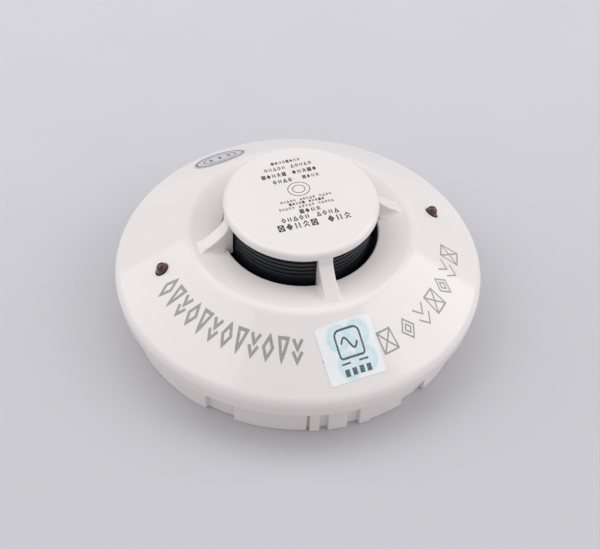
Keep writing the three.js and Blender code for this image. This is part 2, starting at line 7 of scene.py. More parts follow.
import json
import math
from itertools import cycle

import bmesh
import bpy
from mathutils import Matrix, Quaternion, Vector


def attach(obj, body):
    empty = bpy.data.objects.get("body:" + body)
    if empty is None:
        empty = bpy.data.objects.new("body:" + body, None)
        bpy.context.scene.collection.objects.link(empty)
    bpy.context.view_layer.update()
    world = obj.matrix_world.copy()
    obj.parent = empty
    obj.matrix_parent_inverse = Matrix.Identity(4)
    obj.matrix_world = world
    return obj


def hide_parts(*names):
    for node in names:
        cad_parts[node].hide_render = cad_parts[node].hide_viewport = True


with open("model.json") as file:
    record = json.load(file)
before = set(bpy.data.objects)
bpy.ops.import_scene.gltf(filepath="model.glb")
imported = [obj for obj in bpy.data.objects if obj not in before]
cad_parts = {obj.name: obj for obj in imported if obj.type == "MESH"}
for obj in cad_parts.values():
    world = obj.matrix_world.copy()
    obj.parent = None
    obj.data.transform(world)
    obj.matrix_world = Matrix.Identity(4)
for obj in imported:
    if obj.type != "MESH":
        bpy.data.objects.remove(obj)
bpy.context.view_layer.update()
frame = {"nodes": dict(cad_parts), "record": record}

# ---------------------------------------------------------------- driving dimensions, in millimetres

MM = 0.001
WELD = 1e-6  # metres within which corners count as one
GAP = 0.3
WALL = 2.0
ROUND_BIG = 288
ROUND_MID = 144
ROUND_SMALL = 48
ARC_STEPS = 8

HEAD_RADIUS = 51.0
HEAD_HEIGHT = 40.0
SKIRT_BOTTOM = 10.6
SKIRT_RADIUS = 50.6
SHOULDER_HEIGHT = 13.7
SHOULDER_ROUND = 3.8
CONE_SLOPE = math.radians(34.8)
SHELF_HEIGHT = 29.45
SHELF_FALL = 0.5
CREST_ROUND = 5.0
OPENING_RADIUS = 21.2

CAP_RADIUS = 21.0
CAP_UNDERSIDE = 37.6
CAP_ROUND = 1.3
FIN_HALF_THICKNESS = 2.0
FIN_INNER_RADIUS = 19.7
FIN_RIDGE = [(20.7, 37.8), (21.65, 33.3), (29.0, 29.25)]  # ends and pull of the ridge's hollow curve
FIN_AZIMUTHS = (0, 90, 180, 270)
FIN_ROUND = 0.45
FIN_FILLET = 1.1

RING_RADIUS = 47.15
RING_INNER = 44.95
FLOOR_BOTTOM = 6.0
FLOOR_TOP = 8.0
SHOULDER_BOTTOM = 11.0
SHOULDER_TOP = 12.6
SHOULDER_RADIUS = 48.3
LEDGE = (40.6, 42.4)
NOTCHES = (46, 114, 226, 294)
NOTCH_HALF_ANGLE = 5.0
NOTCH_RADIUS = 45.9
INDEX_POCKET = (255.3, 276.6)
INDEX_POCKET_RADIUS = 46.2
INDEX_BLOCKS = ((256, 259.5), (262, 268.5), (272.5, 276.6))
INDEX_BLOCK_RADIUS = 47.6

BOARD_RADIUS = 42.5
BOARD_BOTTOM = 16.4
BOARD_TOP = 18.0
BOARD_SEAT = BOARD_TOP + GAP
SCREW_AZIMUTHS = (45, 165, 285)
SCREW_CIRCLE = 36.0
CONTACT_AZIMUTHS = (0, 90, 180, 270)
CONTACT_CIRCLE = 34.0
LED_AZIMUTHS = (0, 180)
LED_CIRCLE = 39.0
LED_RADIUS = 1.5
LED_TOP = 26.2

SCREEN_RADIUS = 19.3
SCREEN_WALL = 0.8
SCREEN_BOTTOM = 20.2
SCREEN_TOP = CAP_UNDERSIDE - 0.4
SLOT_ROWS = 4
SLOT_LOW = 30.6
SLOT_PITCH = 1.45
SLOT_HEIGHT = 0.45
POST_COUNT = 12
POST_HALF_ANGLE = 4.0
OPTICAL_HEIGHT = 27.0
EMITTER_AZIMUTH = 30
RECEIVER_AZIMUTH = 165
LEAD_RADIUS = 17.0

SHOULDER_END = math.pi / 2 - CONE_SLOPE
CONE_FOOT_RADIUS = HEAD_RADIUS - SHOULDER_ROUND * (1 - math.sin(CONE_SLOPE))
CONE_FOOT_HEIGHT = SHOULDER_HEIGHT + SHOULDER_ROUND * math.cos(CONE_SLOPE)
CONE_HEAD_HEIGHT = SHELF_HEIGHT - CREST_ROUND * (1 - math.cos(CONE_SLOPE))
CONE_HEAD_RADIUS = CONE_FOOT_RADIUS - (CONE_HEAD_HEIGHT - CONE_FOOT_HEIGHT) / math.tan(CONE_SLOPE)
CREST_RADIUS = CONE_HEAD_RADIUS - CREST_ROUND * math.sin(CONE_SLOPE)


def cone_height(x, y):
    """Height of the cover's cone at a place in plan."""
    return CONE_FOOT_HEIGHT + (CONE_FOOT_RADIUS - math.hypot(x, y)) * math.tan(CONE_SLOPE)


def cap_height(x, y):
    """Height of the flat cap, the same at every place. Print asks for it as it asks for cone_height."""
    return HEAD_HEIGHT


# ---------------------------------------------------------------- outlines

def arc(centre, size, start, end, steps=ARC_STEPS):
    """Points on an arc about a centre, angles in radians."""
    angles = [start + (end - start) * i / steps for i in range(steps + 1)]
    return [(centre[0] + size * math.cos(a), centre[1] + size * math.sin(a)) for a in angles]


def rounded(corners, steps=5):
    """A closed outline of (a, b) points from corners (a, b) or (a, b, size of the corner's round)."""
    outline = []
    for i, corner in enumerate(corners):
        here = Vector(corner[:2])
        if len(corner) == 2:
            outline.append(tuple(here))
            continue
        back = (Vector(corners[i - 1][:2]) - here).normalized()
        ahead = (Vector(corners[(i + 1) % len(corners)][:2]) - here).normalized()
        half = back.angle(ahead) / 2
        centre = here + (back + ahead).normalized() * (corner[2] / math.sin(half))
        start = (here + back * (corner[2] / math.tan(half)) - centre).normalized()
        end = (here + ahead * (corner[2] / math.tan(half)) - centre).normalized()
        for step in range(steps + 1):
            outline.append(tuple(centre + start.slerp(end, step / steps) * corner[2]))
    return outline


def eased(value):
    """Runs smoothly from 0 to 1 as value does."""
    t = min(1.0, max(0.0, value))
    return t * t * (3 - 2 * t)


# ---------------------------------------------------------------- solids: (corners, faces)

def lathe(outline_at, azimuths=ROUND_MID):
    """Carries a closed outline of (radius, height) points round +Z.

    outline_at is the outline, or a function that gives it for an azimuth in degrees.
    """
    if isinstance(azimuths, int):
        azimuths = [360 * i / azimuths for i in range(azimuths)]
    corners, faces = [], []
    outlines = [outline_at(a) if callable(outline_at) else outline_at for a in azimuths]
    for azimuth, outline in zip(azimuths, outlines):
        turn = math.radians(azimuth)
        corners += [(r * math.cos(turn), r * math.sin(turn), z) for r, z in outline]
    count = len(outlines[0])
    for i in range(len(azimuths)):
        here, ahead = i * count, (i + 1) % len(azimuths) * count
        for j in range(count):
            k = (j + 1) % count
            if outlines[i][j][0] or outlines[i][k][0]:
                faces.append((here + j, ahead + j, ahead + k, here + k))
    return corners, faces


def loft(sections):
    """A closed solid through sections of equal point counts, with flat ends."""
    count = len(sections[0])
    corners = [corner for section in sections for corner in section]
    faces = [tuple(reversed(range(count)))]
    for i in range(len(sections) - 1):
        for j in range(count):
            k = (j + 1) % count
            faces.append((i * count + j, i * count + k, (i + 1) * count + k, (i + 1) * count + j))
    faces.append(tuple(range((len(sections) - 1) * count, len(sections) * count)))
    return corners, faces


def prism(outline, low, high):
    """A flat outline in X and Y, raised from one height to another."""
    return loft([[(x, y, z) for x, y in outline] for z in (low, high)])


def box(x, y, z, centre=(0, 0)):
    """A block from sizes x and y, about a centre in plan, and a pair of heights z."""
    (cx, cy), (low, high) = centre, z
    outline = [(cx - x / 2, cy - y / 2), (cx + x / 2, cy - y / 2), (cx + x / 2, cy + y / 2),
               (cx - x / 2, cy + y / 2)]
    return prism(outline, low, high)


def sector(inner, outer, low, high, start, end):
    """Part of a tube between two azimuths."""
    steps = max(2, round(end - start))
    turn = [math.radians(start + (end - start) * i / steps) for i in range(steps + 1)]
    outline = [(outer * math.cos(t), outer * math.sin(t)) for t in turn]
    outline += [(inner * math.cos(t), inner * math.sin(t)) for t in reversed(turn)]
    return prism(outline, low, high)


def ribbon(line, thickness, width):
    """A strip that follows a line of (along, height) points. Its width lies across, centred."""
    points = [Vector(p) for p in line]
    upper, lower = [], []
    for i, here in enumerate(points):
        back = (here - points[max(i - 1, 0)]).normalized()
        ahead = (points[min(i + 1, len(points) - 1)] - here).normalized()
        way = (back + ahead).normalized()
        normal = Vector((-way.y, way.x))
        stretch = max(0.4, abs(way.dot(ahead if ahead.length else back)))
        upper.append(here + normal * thickness / 2 / stretch)
        lower.append(here - normal * thickness / 2 / stretch)
    outline = upper + lower[::-1]
    return loft([[(side * width / 2, p.x, p.y) for p in outline] for side in (-1, 1)])


def cylinder(radius, low, high, azimuths=ROUND_SMALL):
    """A round bar about +Z between two heights."""
    return lathe([(0, low), (radius, low), (radius, high), (0, high)], azimuths)


def moved(solid, matrix):
    corners, faces = solid
    return [matrix @ Vector(c) for c in corners], faces


def together(*solids):
    corners, faces = [], []
    for more_corners, more_faces in solids:
        start = len(corners)
        corners += list(more_corners)
        faces += [tuple(start + i for i in face) for face in more_faces]
    return corners, faces


def turned_to(azimuth):
    return Matrix.Rotation(math.radians(azimuth), 4, "Z")


def aside(x, y=0, z=0):
    return Matrix.Translation((x, y, z))


def around(solid, azimuths, radius):
    """Copies of a solid drawn at the origin, set out on a circle."""
    return [moved(solid, turned_to(a) @ aside(radius)) for a in azimuths]


def on_board(azimuth, radius):
    """Carries a solid drawn at the origin to a place on the board, its X along the tangent."""
    return turned_to(azimuth) @ aside(radius) @ turned_to(90)


def along_axis(azimuth):
    """Carries a solid drawn about +Z to the optical height, its axis along an azimuth."""
    return turned_to(azimuth) @ aside(0, 0, OPTICAL_HEIGHT) @ Matrix.Rotation(math.pi / 2, 4, "Y")


# ---------------------------------------------------------------- objects

def new_object(name, data):
    made = bpy.data.objects.new(name, data)
    bpy.context.scene.collection.objects.link(made)
    return made


def build(name, solid, material, crease=35):
    """A mesh object from a solid. Faces that meet at more than crease degrees keep a sharp edge."""
    corners, faces = solid
    mesh = bpy.data.meshes.new(name)
    mesh.from_pydata([Vector(c) * MM for c in corners], [], faces)
    mesh.materials.append(material)
    smooth(mesh, crease)
    return new_object(name, mesh)


def smooth(mesh, crease):
    """Welds the mesh, turns its faces outwards and shades it smooth but for sharp edges."""
    work = bmesh.new()
    work.from_mesh(mesh)
    bmesh.ops.remove_doubles(work, verts=work.verts, dist=WELD)
    bmesh.ops.dissolve_degenerate(work, edges=work.edges, dist=WELD)
    bmesh.ops.recalc_face_normals(work, faces=work.faces)
    work.to_mesh(mesh)
    work.free()
    mesh.polygons.foreach_set("use_smooth", [True] * len(mesh.polygons))
    mesh.set_sharp_from_angle(angle=math.radians(crease))


def bake(made):
    """Applies an object's modifiers."""
    bpy.context.view_layer.update()
    graph = bpy.context.evaluated_depsgraph_get()
    mesh = bpy.data.meshes.new_from_object(made.evaluated_get(graph))
    made.modifiers.clear()
    made.data = mesh


def combine(made, solid, operation):
    """Joins a solid to an object (UNION) or cuts it out of it (DIFFERENCE)."""
    tool = build(made.name + "_tool", solid, made.data.materials[0])
    change = made.modifiers.new("combine", "BOOLEAN")
    change.operation = operation
    change.solver = "EXACT"
    change.object = tool
    bake(made)
    bpy.data.objects.remove(tool)


def even_shading(made, crease=32):
    """Shades an object smooth, led by its large faces."""
    smooth(made.data, crease)
    shading = made.modifiers.new("shading", "WEIGHTED_NORMAL")
    shading.keep_sharp = True
    return made


def soften(made, width, segments=2, limit=30):
    """Rounds an object's sharp edges and evens out its shading."""
    edges = made.modifiers.new("edges", "BEVEL")
    edges.width = width * MM
    edges.segments = segments
    edges.limit_method = "ANGLE"
    edges.angle_limit = math.radians(limit)
    edges.use_clamp_overlap = True
    bake(made)
    return even_shading(made, 40)


def body_of(node):
    """The body that a CAD node rides on."""
    bodies = frame["record"]["behaviour"]["bodies"]
    return next(body for body, members in bodies.items() if node in members)


def place(made, body, slot, *nodes):
    """Says which body an object rides on and hides the CAD nodes that it stands for. Its material slot is
    not used.
    """
    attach(made, body)
    if nodes:
        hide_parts(*nodes)


# ---------------------------------------------------------------- shader nodes

def shader(name, color, roughness, metallic=0.0):
    material = bpy.data.materials.new(name)
    material.use_nodes = True
    surface = material.node_tree.nodes["Principled BSDF"]
    surface.inputs["Base Color"].default_value = (*color, 1)
    surface.inputs["Roughness"].default_value = roughness
    surface.inputs["Metallic"].default_value = metallic
    return material, surface


def add(material, kind, inputs, **settings):
    """A new node. An input takes a value or another node's output."""
    made = material.node_tree.nodes.new(kind)
    for setting, value in settings.items():
        setattr(made, setting, value)
    for socket, value in inputs.items():
        feed(material, value, made.inputs[socket])
    return made


def feed(material, value, socket):
    if isinstance(value, bpy.types.NodeSocket):
        material.node_tree.links.new(value, socket)
    else:
        socket.default_value = value


def position(material, stretch=(1, 1, 1)):
    """Places in the piece's own frame, in metres, stretched along its axes."""
    place_node = add(material, "ShaderNodeTexCoord", {})
    scaled = add(material, "ShaderNodeMapping", {"Vector": place_node.outputs["Object"], "Scale": stretch})
    return scaled.outputs["Vector"]


def noise(material, scale, detail=2.0, stretch=(1, 1, 1)):
    inputs = {"Vector": position(material, stretch), "Scale": scale, "Detail": detail}
    return add(material, "ShaderNodeTexNoise", inputs).outputs["Fac"]


def math_node(material, operation, *values):
    inputs = dict(enumerate(values))
    return add(material, "ShaderNodeMath", inputs, operation=operation).outputs["Value"]


def spread(material, value, low, high, start=0.3, end=0.7):
    """Carries a value from the range start..end to low..high."""
    inputs = {"Value": value, "From Min": start, "From Max": end, "To Min": low, "To Max": high}
    return add(material, "ShaderNodeMapRange", inputs).outputs["Result"]


def blend(material, share, first, second):
    """Mixes two colours, each given as numbers or as another node's output."""
    mix = add(material, "ShaderNodeMix", {}, data_type="RGBA")
    factor, color_a, color_b, color_out = mix.inputs[0], mix.inputs[6], mix.inputs[7], mix.outputs[2]
    for socket, value in ((factor, share), (color_a, first), (color_b, second)):
        feed(material, (*value, 1) if isinstance(value, tuple) else value, socket)
    return color_out


def mottle(material, surface, scale, detail, first, second, grain=(1, 1, 1)):
    """Varies the colour between two."""
    tone = spread(material, noise(material, scale, detail, grain), 0, 1)
    feed(material, blend(material, tone, first, second), surface.inputs["Base Color"])


def wear(material, surface, scale, detail, low, high, grain=(1, 1, 1)):
    """Varies the roughness between two values."""
    rough = spread(material, noise(material, scale, detail, grain), low, high)
    feed(material, rough, surface.inputs["Roughness"])


def relief(material, surface, height, depth):
    """Bumps a surface by a height in 0..1, depth in millimetres."""
    made = add(material, "ShaderNodeBump", {"Height": height, "Distance": depth * MM, "Strength": 1.0})
    feed(material, made.outputs["Normal"], surface.inputs["Normal"])


# ---------------------------------------------------------------- materials

def white_plastic():
    """Glossy warm white ABS with the faint orange-peel of a polished mould and handling marks."""
    material, surface = shader("white_plastic", (0.82, 0.765, 0.752), 0.12)
    mottle(material, surface, 45, 3, (0.815, 0.758, 0.745), (0.828, 0.774, 0.762))
    wear(material, surface, 160, 4, 0.08, 0.16)
    surface.inputs["IOR"].default_value = 1.5
    surface.inputs["Subsurface Weight"].default_value = 0.08
    surface.inputs["Subsurface Scale"].default_value = 0.002
    relief(material, surface, noise(material, 900, 3), 0.006)
    return material


def black_plastic():
    material, surface = shader("black_plastic", (0.008, 0.010, 0.013), 0.35)
    mottle(material, surface, 220, 3, (0.006, 0.008, 0.013), (0.011, 0.014, 0.022))
    wear(material, surface, 500, 3, 0.28, 0.42)
    relief(material, surface, noise(material, 2600, 3), 0.01)
    return material


def red_lens():
    """Smoked red resin of the indicator lamps."""
    material, surface = shader("red_lens", (0.055, 0.007, 0.010), 0.08)
    mottle(material, surface, 700, 2, (0.042, 0.004, 0.008), (0.082, 0.006, 0.011))
    wear(material, surface, 1800, 2, 0.05, 0.12)
    surface.inputs["IOR"].default_value = 1.54
    surface.inputs["Transmission Weight"].default_value = 0.2
    surface.inputs["Coat Weight"].default_value = 0.6
    return material


def clear_lens():
    material, surface = shader("clear_lens", (0.82, 0.88, 0.93), 0.05)
    mottle(material, surface, 500, 2, (0.78, 0.86, 0.93), (0.86, 0.91, 0.95))
    wear(material, surface, 1500, 2, 0.03, 0.08)
    surface.inputs["IOR"].default_value = 1.5
    surface.inputs["Transmission Weight"].default_value = 0.9
    return material


def board_green():
    """Green solder mask over tracks that run square and at 45 degrees."""
    material, surface = shader("board_green", (0.012, 0.10, 0.045), 0.35)
    inputs = {"Vector": position(material), "Scale": 330.0}
    cells = []
    for feature in ("F1", "F2"):
        cell = add(material, "ShaderNodeTexVoronoi", inputs, feature=feature, distance="CHEBYCHEV")
        cells.append(cell.outputs["Distance"])
    edge = math_node(material, "SUBTRACT", cells[1], cells[0])
    track = spread(material, edge, 1, 0, 0.10, 0.14)
    color = blend(material, track, (0.008, 0.075, 0.034), (0.016, 0.14, 0.058))
    feed(material, color, surface.inputs["Base Color"])
    wear(material, surface, 900, 3, 0.25, 0.4)
    relief(material, surface, track, 0.04)
    return material


def chip_black():
    """Moulding compound: matt, with a fine grain."""
    material, surface = shader("chip_black", (0.012, 0.012, 0.013), 0.55)
    mottle(material, surface, 5200, 4, (0.009, 0.009, 0.010), (0.020, 0.020, 0.021))
    wear(material, surface, 3000, 3, 0.45, 0.65)
    relief(material, surface, noise(material, 7000, 3), 0.02)
    return material


def metal(name, dull, bright, low, high, grain=(1, 12, 1)):
    """Bare metal with a rolled grain: roughness runs from low to high."""
    material, surface = shader(name, bright, (low + high) / 2, 1.0)
    mottle(material, surface, 260, 4, dull, bright, grain)
    wear(material, surface, 900, 4, low, high, grain)
    relief(material, surface, noise(material, 1800, 3, grain), 0.008)
    return material


def paper(name, first, second, roughness):
    """Printed film or paper with a faint mottle."""
    material, surface = shader(name, first, roughness)
    mottle(material, surface, 600, 4, first, second)
    wear(material, surface, 300, 3, roughness - 0.06, roughness + 0.08)
    relief(material, surface, noise(material, 2400, 3), 0.006)
    return material, surface


def ink(name, color):
    """Screen-printed ink, a little thinner in places."""
    thin = tuple(c + (1 - c) * 0.12 for c in color)
    material, surface = shader(name, color, 0.4)
    mottle(material, surface, 1700, 4, color, thin)
    wear(material, surface, 1100, 2, 0.32, 0.5)
    return material


STICKER_CENTRE = (0.85, -40.35)
LOBES = ((-2.6, 2.8), (2.9, 3.3), (-1.2, -3.4), (3.6, -2.4))  # middles of the sticker's tinted discs
LOBE_RADIUS = 3.1


def tinted_film():
    """White film with four pale cyan discs and a pearly sheen."""
    material, surface = paper("tinted_film", (0.88, 0.90, 0.92), (0.83, 0.86, 0.89), 0.24)
    nearest = None
    for x, y in LOBES:
        middle = ((STICKER_CENTRE[0] + x) * MM, (STICKER_CENTRE[1] + y) * MM, 0)
        flat = position(material, (1, 1, 0))
        away = add(material, "ShaderNodeVectorMath", {0: flat, 1: middle}, operation="DISTANCE")
        away = away.outputs["Value"]
        nearest = away if nearest is None else math_node(material, "MINIMUM", nearest, away)
    disc = spread(material, nearest, 0.75, 0, LOBE_RADIUS * 0.86 * MM, LOBE_RADIUS * 1.12 * MM)
    rim = spread(material, nearest, 0, 1, LOBE_RADIUS * 0.45 * MM, LOBE_RADIUS * 0.9 * MM)
    lit = math_node(material, "MULTIPLY", disc, spread(material, rim, 0.5, 1, 0, 1))
    share = math_node(material, "MULTIPLY", lit, spread(material, noise(material, 900, 4), 0.6, 1.0))
    white = blend(material, noise(material, 350, 3), (0.90, 0.91, 0.92), (0.84, 0.86, 0.88))
    feed(material, blend(material, share, white, (0.42, 0.72, 0.80)), surface.inputs["Base Color"])
    surface.inputs["Coat Weight"].default_value = 0.4
    return material


WHITE = white_plastic()
BLACK = black_plastic()
RED = red_lens()
CLEAR = clear_lens()
GREEN = board_green()
COMPOUND = chip_black()
TIN = metal("tinned_steel", (0.50, 0.51, 0.52), (0.66, 0.67, 0.68), 0.22, 0.38)
BRASS = metal("contact_brass", (0.50, 0.34, 0.13), (0.72, 0.52, 0.22), 0.22, 0.4)
FOIL = metal("silver_foil", (0.60, 0.60, 0.62), (0.74, 0.74, 0.76), 0.25, 0.4, (1, 1, 8))
SOLDER = metal("solder", (0.52, 0.53, 0.54), (0.70, 0.70, 0.71), 0.18, 0.3, (1, 1, 1))
PAPER = paper("label_paper", (0.82, 0.82, 0.80), (0.76, 0.76, 0.74), 0.45)[0]
FILM = tinted_film()
SILVER_FILM = paper("silver_film", (0.52, 0.51, 0.54), (0.60, 0.59, 0.62), 0.28)[0]
CERAMIC = paper("ceramic", (0.022, 0.021, 0.022), (0.034, 0.033, 0.034), 0.4)[0]
CONE_INK = ink("cone_ink", (0.30, 0.285, 0.28))
FAINT_INK = ink("faint_ink", (0.30, 0.285, 0.28))
CAP_INK = ink("cap_ink", (0.035, 0.033, 0.032))
STICKER_INK = ink("sticker_ink", (0.045, 0.075, 0.095))


# ---------------------------------------------------------------- cover

CATCH_RIB = (47.2, 49.6, 12.9, 13.7)  # inner and outer radius, bottom and top
HOOK_HALF_ANGLE = 5


def cover_line(inset):
    """The cover's outline from skirt to opening, moved inwards."""
    shoulder = arc((HEAD_RADIUS - SHOULDER_ROUND, SHOULDER_HEIGHT), SHOULDER_ROUND - inset, 0, SHOULDER_END)
    crest = arc((CREST_RADIUS, SHELF_HEIGHT - CREST_ROUND), CREST_ROUND - inset, SHOULDER_END, math.pi / 2)
    return shoulder + crest


def cover_shell():
    skirt_round = 0.35
    lip_round = 0.6
    lip = SHELF_HEIGHT - SHELF_FALL
    foot = [(SKIRT_RADIUS - WALL, SKIRT_BOTTOM, skirt_round), (SKIRT_RADIUS, SKIRT_BOTTOM, skirt_round)]
    edge = [(OPENING_RADIUS, lip, lip_round), (OPENING_RADIUS, lip - WALL, lip_round)]
    return lathe(rounded([*foot, *cover_line(0), *edge, *reversed(cover_line(WALL))]), ROUND_BIG)


def cap():
    return lathe(rounded([(0, CAP_UNDERSIDE), (CAP_RADIUS, CAP_UNDERSIDE, 0.3),
                          (CAP_RADIUS, HEAD_HEIGHT, CAP_ROUND), (0, HEAD_HEIGHT)], ARC_STEPS), ROUND_BIG)


def ridge_radius(height):
    """How far out a fin's ridge lies at a height, from the ridge's quadratic curve."""
    (r0, z0), (r1, z1), (r2, z2) = FIN_RIDGE
    if height <= z2:
        return r2 - (z2 - height) * 3
    a, b, c = z0 - 2 * z1 + z2, 2 * (z1 - z0), z0 - min(height, z0)
    t = (-b - math.sqrt(b * b - 4 * a * c)) / (2 * a)
    return r0 * (1 - t) ** 2 + 2 * r1 * t * (1 - t) + r2 * t * t


def fin_section(height):
    """A fin's outline at a height: it widens in a small fillet where it meets the shelf."""
    outer = max(ridge_radius(height), FIN_INNER_RADIUS + 1.5)
    above = height - (SHELF_HEIGHT - 0.2)
    short = max(0.0, FIN_FILLET - max(0.0, above))
    fillet = FIN_FILLET - math.sqrt(FIN_FILLET ** 2 - short ** 2)
    side = []
    steps = 20
    for i in range(steps + 1):
        radius = FIN_INNER_RADIUS + (outer - FIN_ROUND - FIN_INNER_RADIUS) * i / steps
        share = eased((radius - OPENING_RADIUS) / 1.2)
        side.append((radius, FIN_HALF_THICKNESS + fillet * share))
    width = side[-1][1] - FIN_ROUND
    corner = arc((side[-1][0], width), FIN_ROUND, math.pi / 2, 0, 4)[1:]
    half = side + corner
    return [(r, y, height) for r, y in half] + [(r, -y, height) for r, y in reversed(half)]


def fin():
    low, shelf, top = 26.95, SHELF_HEIGHT - 0.4, CAP_UNDERSIDE + 0.2
    heights = [low, 28.0, 28.6]
    heights += [shelf + 2.2 * (i / 22) ** 1.4 for i in range(22)]
    heights += [shelf + 2.2 + (top - shelf - 2.2) * i / 26 for i in range(27)]
    return loft([fin_section(z) for z in heights])


def cover():
    made = build("cover_moulding", cover_shell(), WHITE)
    combine(made, together(*around(fin(), FIN_AZIMUTHS, 0)), "UNION")
    combine(made, cap(), "UNION")
    ribs = [sector(*CATCH_RIB, a - HOOK_HALF_ANGLE, a + HOOK_HALF_ANGLE) for a in CONTACT_AZIMUTHS]
    combine(made, together(*ribs), "UNION")
    hole = cylinder(LED_RADIUS + GAP, SKIRT_BOTTOM, SHELF_HEIGHT)
    combine(made, together(*around(hole, LED_AZIMUTHS, LED_CIRCLE)), "DIFFERENCE")
    place(even_shading(made), "cover_body", "white_plastic", "cover")


# ---------------------------------------------------------------- back housing

STEP_ANGLE = 0.45  # degrees over which a notch's or block's side rises
BACKING_ANGLE = 2.5  # degrees by which the wall behind a notch or the pocket reaches past its sides


def plateau(azimuth, start, end):
    """1 between two azimuths and 0 outside, with short slopes."""
    rise = eased((azimuth - start) / STEP_ANGLE + 0.5)
    return rise * (1 - eased((azimuth - end) / STEP_ANGLE + 0.5))


def notch_share(azimuth, margin=0.0):
    half = NOTCH_HALF_ANGLE + margin
    return max(plateau(azimuth, n - half, n + half) for n in NOTCHES)


def pocket_share(azimuth, margin=0.0):
    return plateau(azimuth, INDEX_POCKET[0] - margin, INDEX_POCKET[1] + margin)


def ring_radius(azimuth):
    """Outer radius of the plug-in ring: notches, index pocket and index blocks."""
    radius = RING_RADIUS - (RING_RADIUS - NOTCH_RADIUS) * notch_share(azimuth)
    radius -= (RING_RADIUS - INDEX_POCKET_RADIUS) * pocket_share(azimuth)
    for start, end in INDEX_BLOCKS:
        radius += (INDEX_BLOCK_RADIUS - INDEX_POCKET_RADIUS) * plateau(azimuth, start, end)
    return radius


def ring_inner(azimuth):
    """Inner radius of the ring below the floor, which steps in behind notches and pocket."""
    radius = RING_INNER - (RING_INNER - NOTCH_RADIUS + WALL) * notch_share(azimuth, BACKING_ANGLE)
    return radius - (RING_INNER - INDEX_POCKET_RADIUS + WALL) * pocket_share(azimuth, BACKING_ANGLE)


def trench_bottom(azimuth):
    """Bottom of the trench between ring and board ledge: solid behind notches and pocket."""
    share = max(notch_share(azimuth, BACKING_ANGLE), pocket_share(azimuth, BACKING_ANGLE))
    return FLOOR_TOP + (SHOULDER_BOTTOM + 0.5 - FLOOR_TOP) * share


def housing_outline(azimuth):
    outer, inner, trench = ring_radius(azimuth), ring_inner(azimuth), trench_bottom(azimuth)
    ledge_in, ledge_out = LEDGE
    ledge_top = BOARD_BOTTOM - GAP
    return rounded([
        (0, FLOOR_BOTTOM), (inner, FLOOR_BOTTOM, 0.5), (inner, 0, 0.3), (outer, 0, 0.4),
        (outer, SHOULDER_BOTTOM, 0.25), (SHOULDER_RADIUS, SHOULDER_BOTTOM, 0.2),
        (SHOULDER_RADIUS, SHOULDER_TOP, 0.3), (RING_INNER, SHOULDER_TOP, 0.3),
        (RING_INNER, trench, 0.3), (ledge_out, trench, 0.3), (ledge_out, ledge_top, 0.2),
        (ledge_in, ledge_top, 0.2), (ledge_in, FLOOR_TOP, 0.5), (0, FLOOR_TOP),
    ], 3)


def housing_azimuths():
    """Every degree, and finely where the ring's outline steps."""
    steps = []
    for n in NOTCHES:
        for half in (NOTCH_HALF_ANGLE, NOTCH_HALF_ANGLE + BACKING_ANGLE):
            steps += [n - half, n + half]
    steps += [INDEX_POCKET[0] - BACKING_ANGLE, INDEX_POCKET[1] + BACKING_ANGLE]
    for start, end in (INDEX_POCKET, *INDEX_BLOCKS):
        steps += [start, end]
    fine = [step + STEP_ANGLE * (i / 6 - 0.5) for step in steps for i in range(7)]
    coarse = [a for a in range(360) if all(abs(a - step) > STEP_ANGLE * 0.6 for step in steps)]
    return sorted({round(a, 4) for a in coarse + fine})


def hook(azimuth):
    """A springy hook for the cover: a stem with a ramped nib."""
    start, end = azimuth - HOOK_HALF_ANGLE, azimuth + HOOK_HALF_ANGLE
    profile = [(45, SHOULDER_TOP - 0.5), (46, SHOULDER_TOP - 0.5), (46, 14.1), (46.8, 14.2), (46.8, 14.5),
               (46.1, 16), (45, 16)]
    sections = []
    for i in range(11):
        turn = math.radians(start + (end - start) * i / 10)
        sections.append([(r * math.cos(turn), r * math.sin(turn), z) for r, z in profile])
    return loft(sections)


def ejector_marks():
    """Shallow round marks that the mould's ejector pins left under the floor."""
    dent = cylinder(1.6, FLOOR_BOTTOM - 1, FLOOR_BOTTOM + 0.12)
    return around(dent, (22, 68, 112, 158, 202, 248, 292, 338), 38)


def back_housing():
    made = build("housing_moulding", lathe(housing_outline, housing_azimuths()), WHITE)
    boss = lathe(rounded([(0, FLOOR_TOP - 0.5), (3, FLOOR_TOP - 0.5), (3, BOARD_BOTTOM - GAP, 0.25),
                          (0, BOARD_BOTTOM - GAP)]), ROUND_SMALL)
    seats = around(boss, SCREW_AZIMUTHS, SCREW_CIRCLE)
    hooks = [hook(a) for a in CONTACT_AZIMUTHS]
    rim = lathe(rounded([(23.2, FLOOR_BOTTOM + 0.5), (23.2, FLOOR_BOTTOM - 0.5, 0.2),
                         (24.2, FLOOR_BOTTOM - 0.5, 0.2), (24.2, FLOOR_BOTTOM + 0.5)], 3), ROUND_MID)
    combine(made, together(*seats, *hooks, rim), "UNION")
    bores = around(cylinder(1.5, 10.5, BOARD_BOTTOM), SCREW_AZIMUTHS, SCREW_CIRCLE)
    rivet_hole = cylinder(1.7, FLOOR_BOTTOM - 1, FLOOR_TOP + 1)
    rivet_holes = around(rivet_hole, CONTACT_AZIMUTHS, CONTACT_CIRCLE)
    combine(made, together(*bores, *rivet_holes, *ejector_marks()), "DIFFERENCE")
    place(even_shading(made), body_of("back_housing"), "white_plastic", "back_housing")


# ---------------------------------------------------------------- insect screen

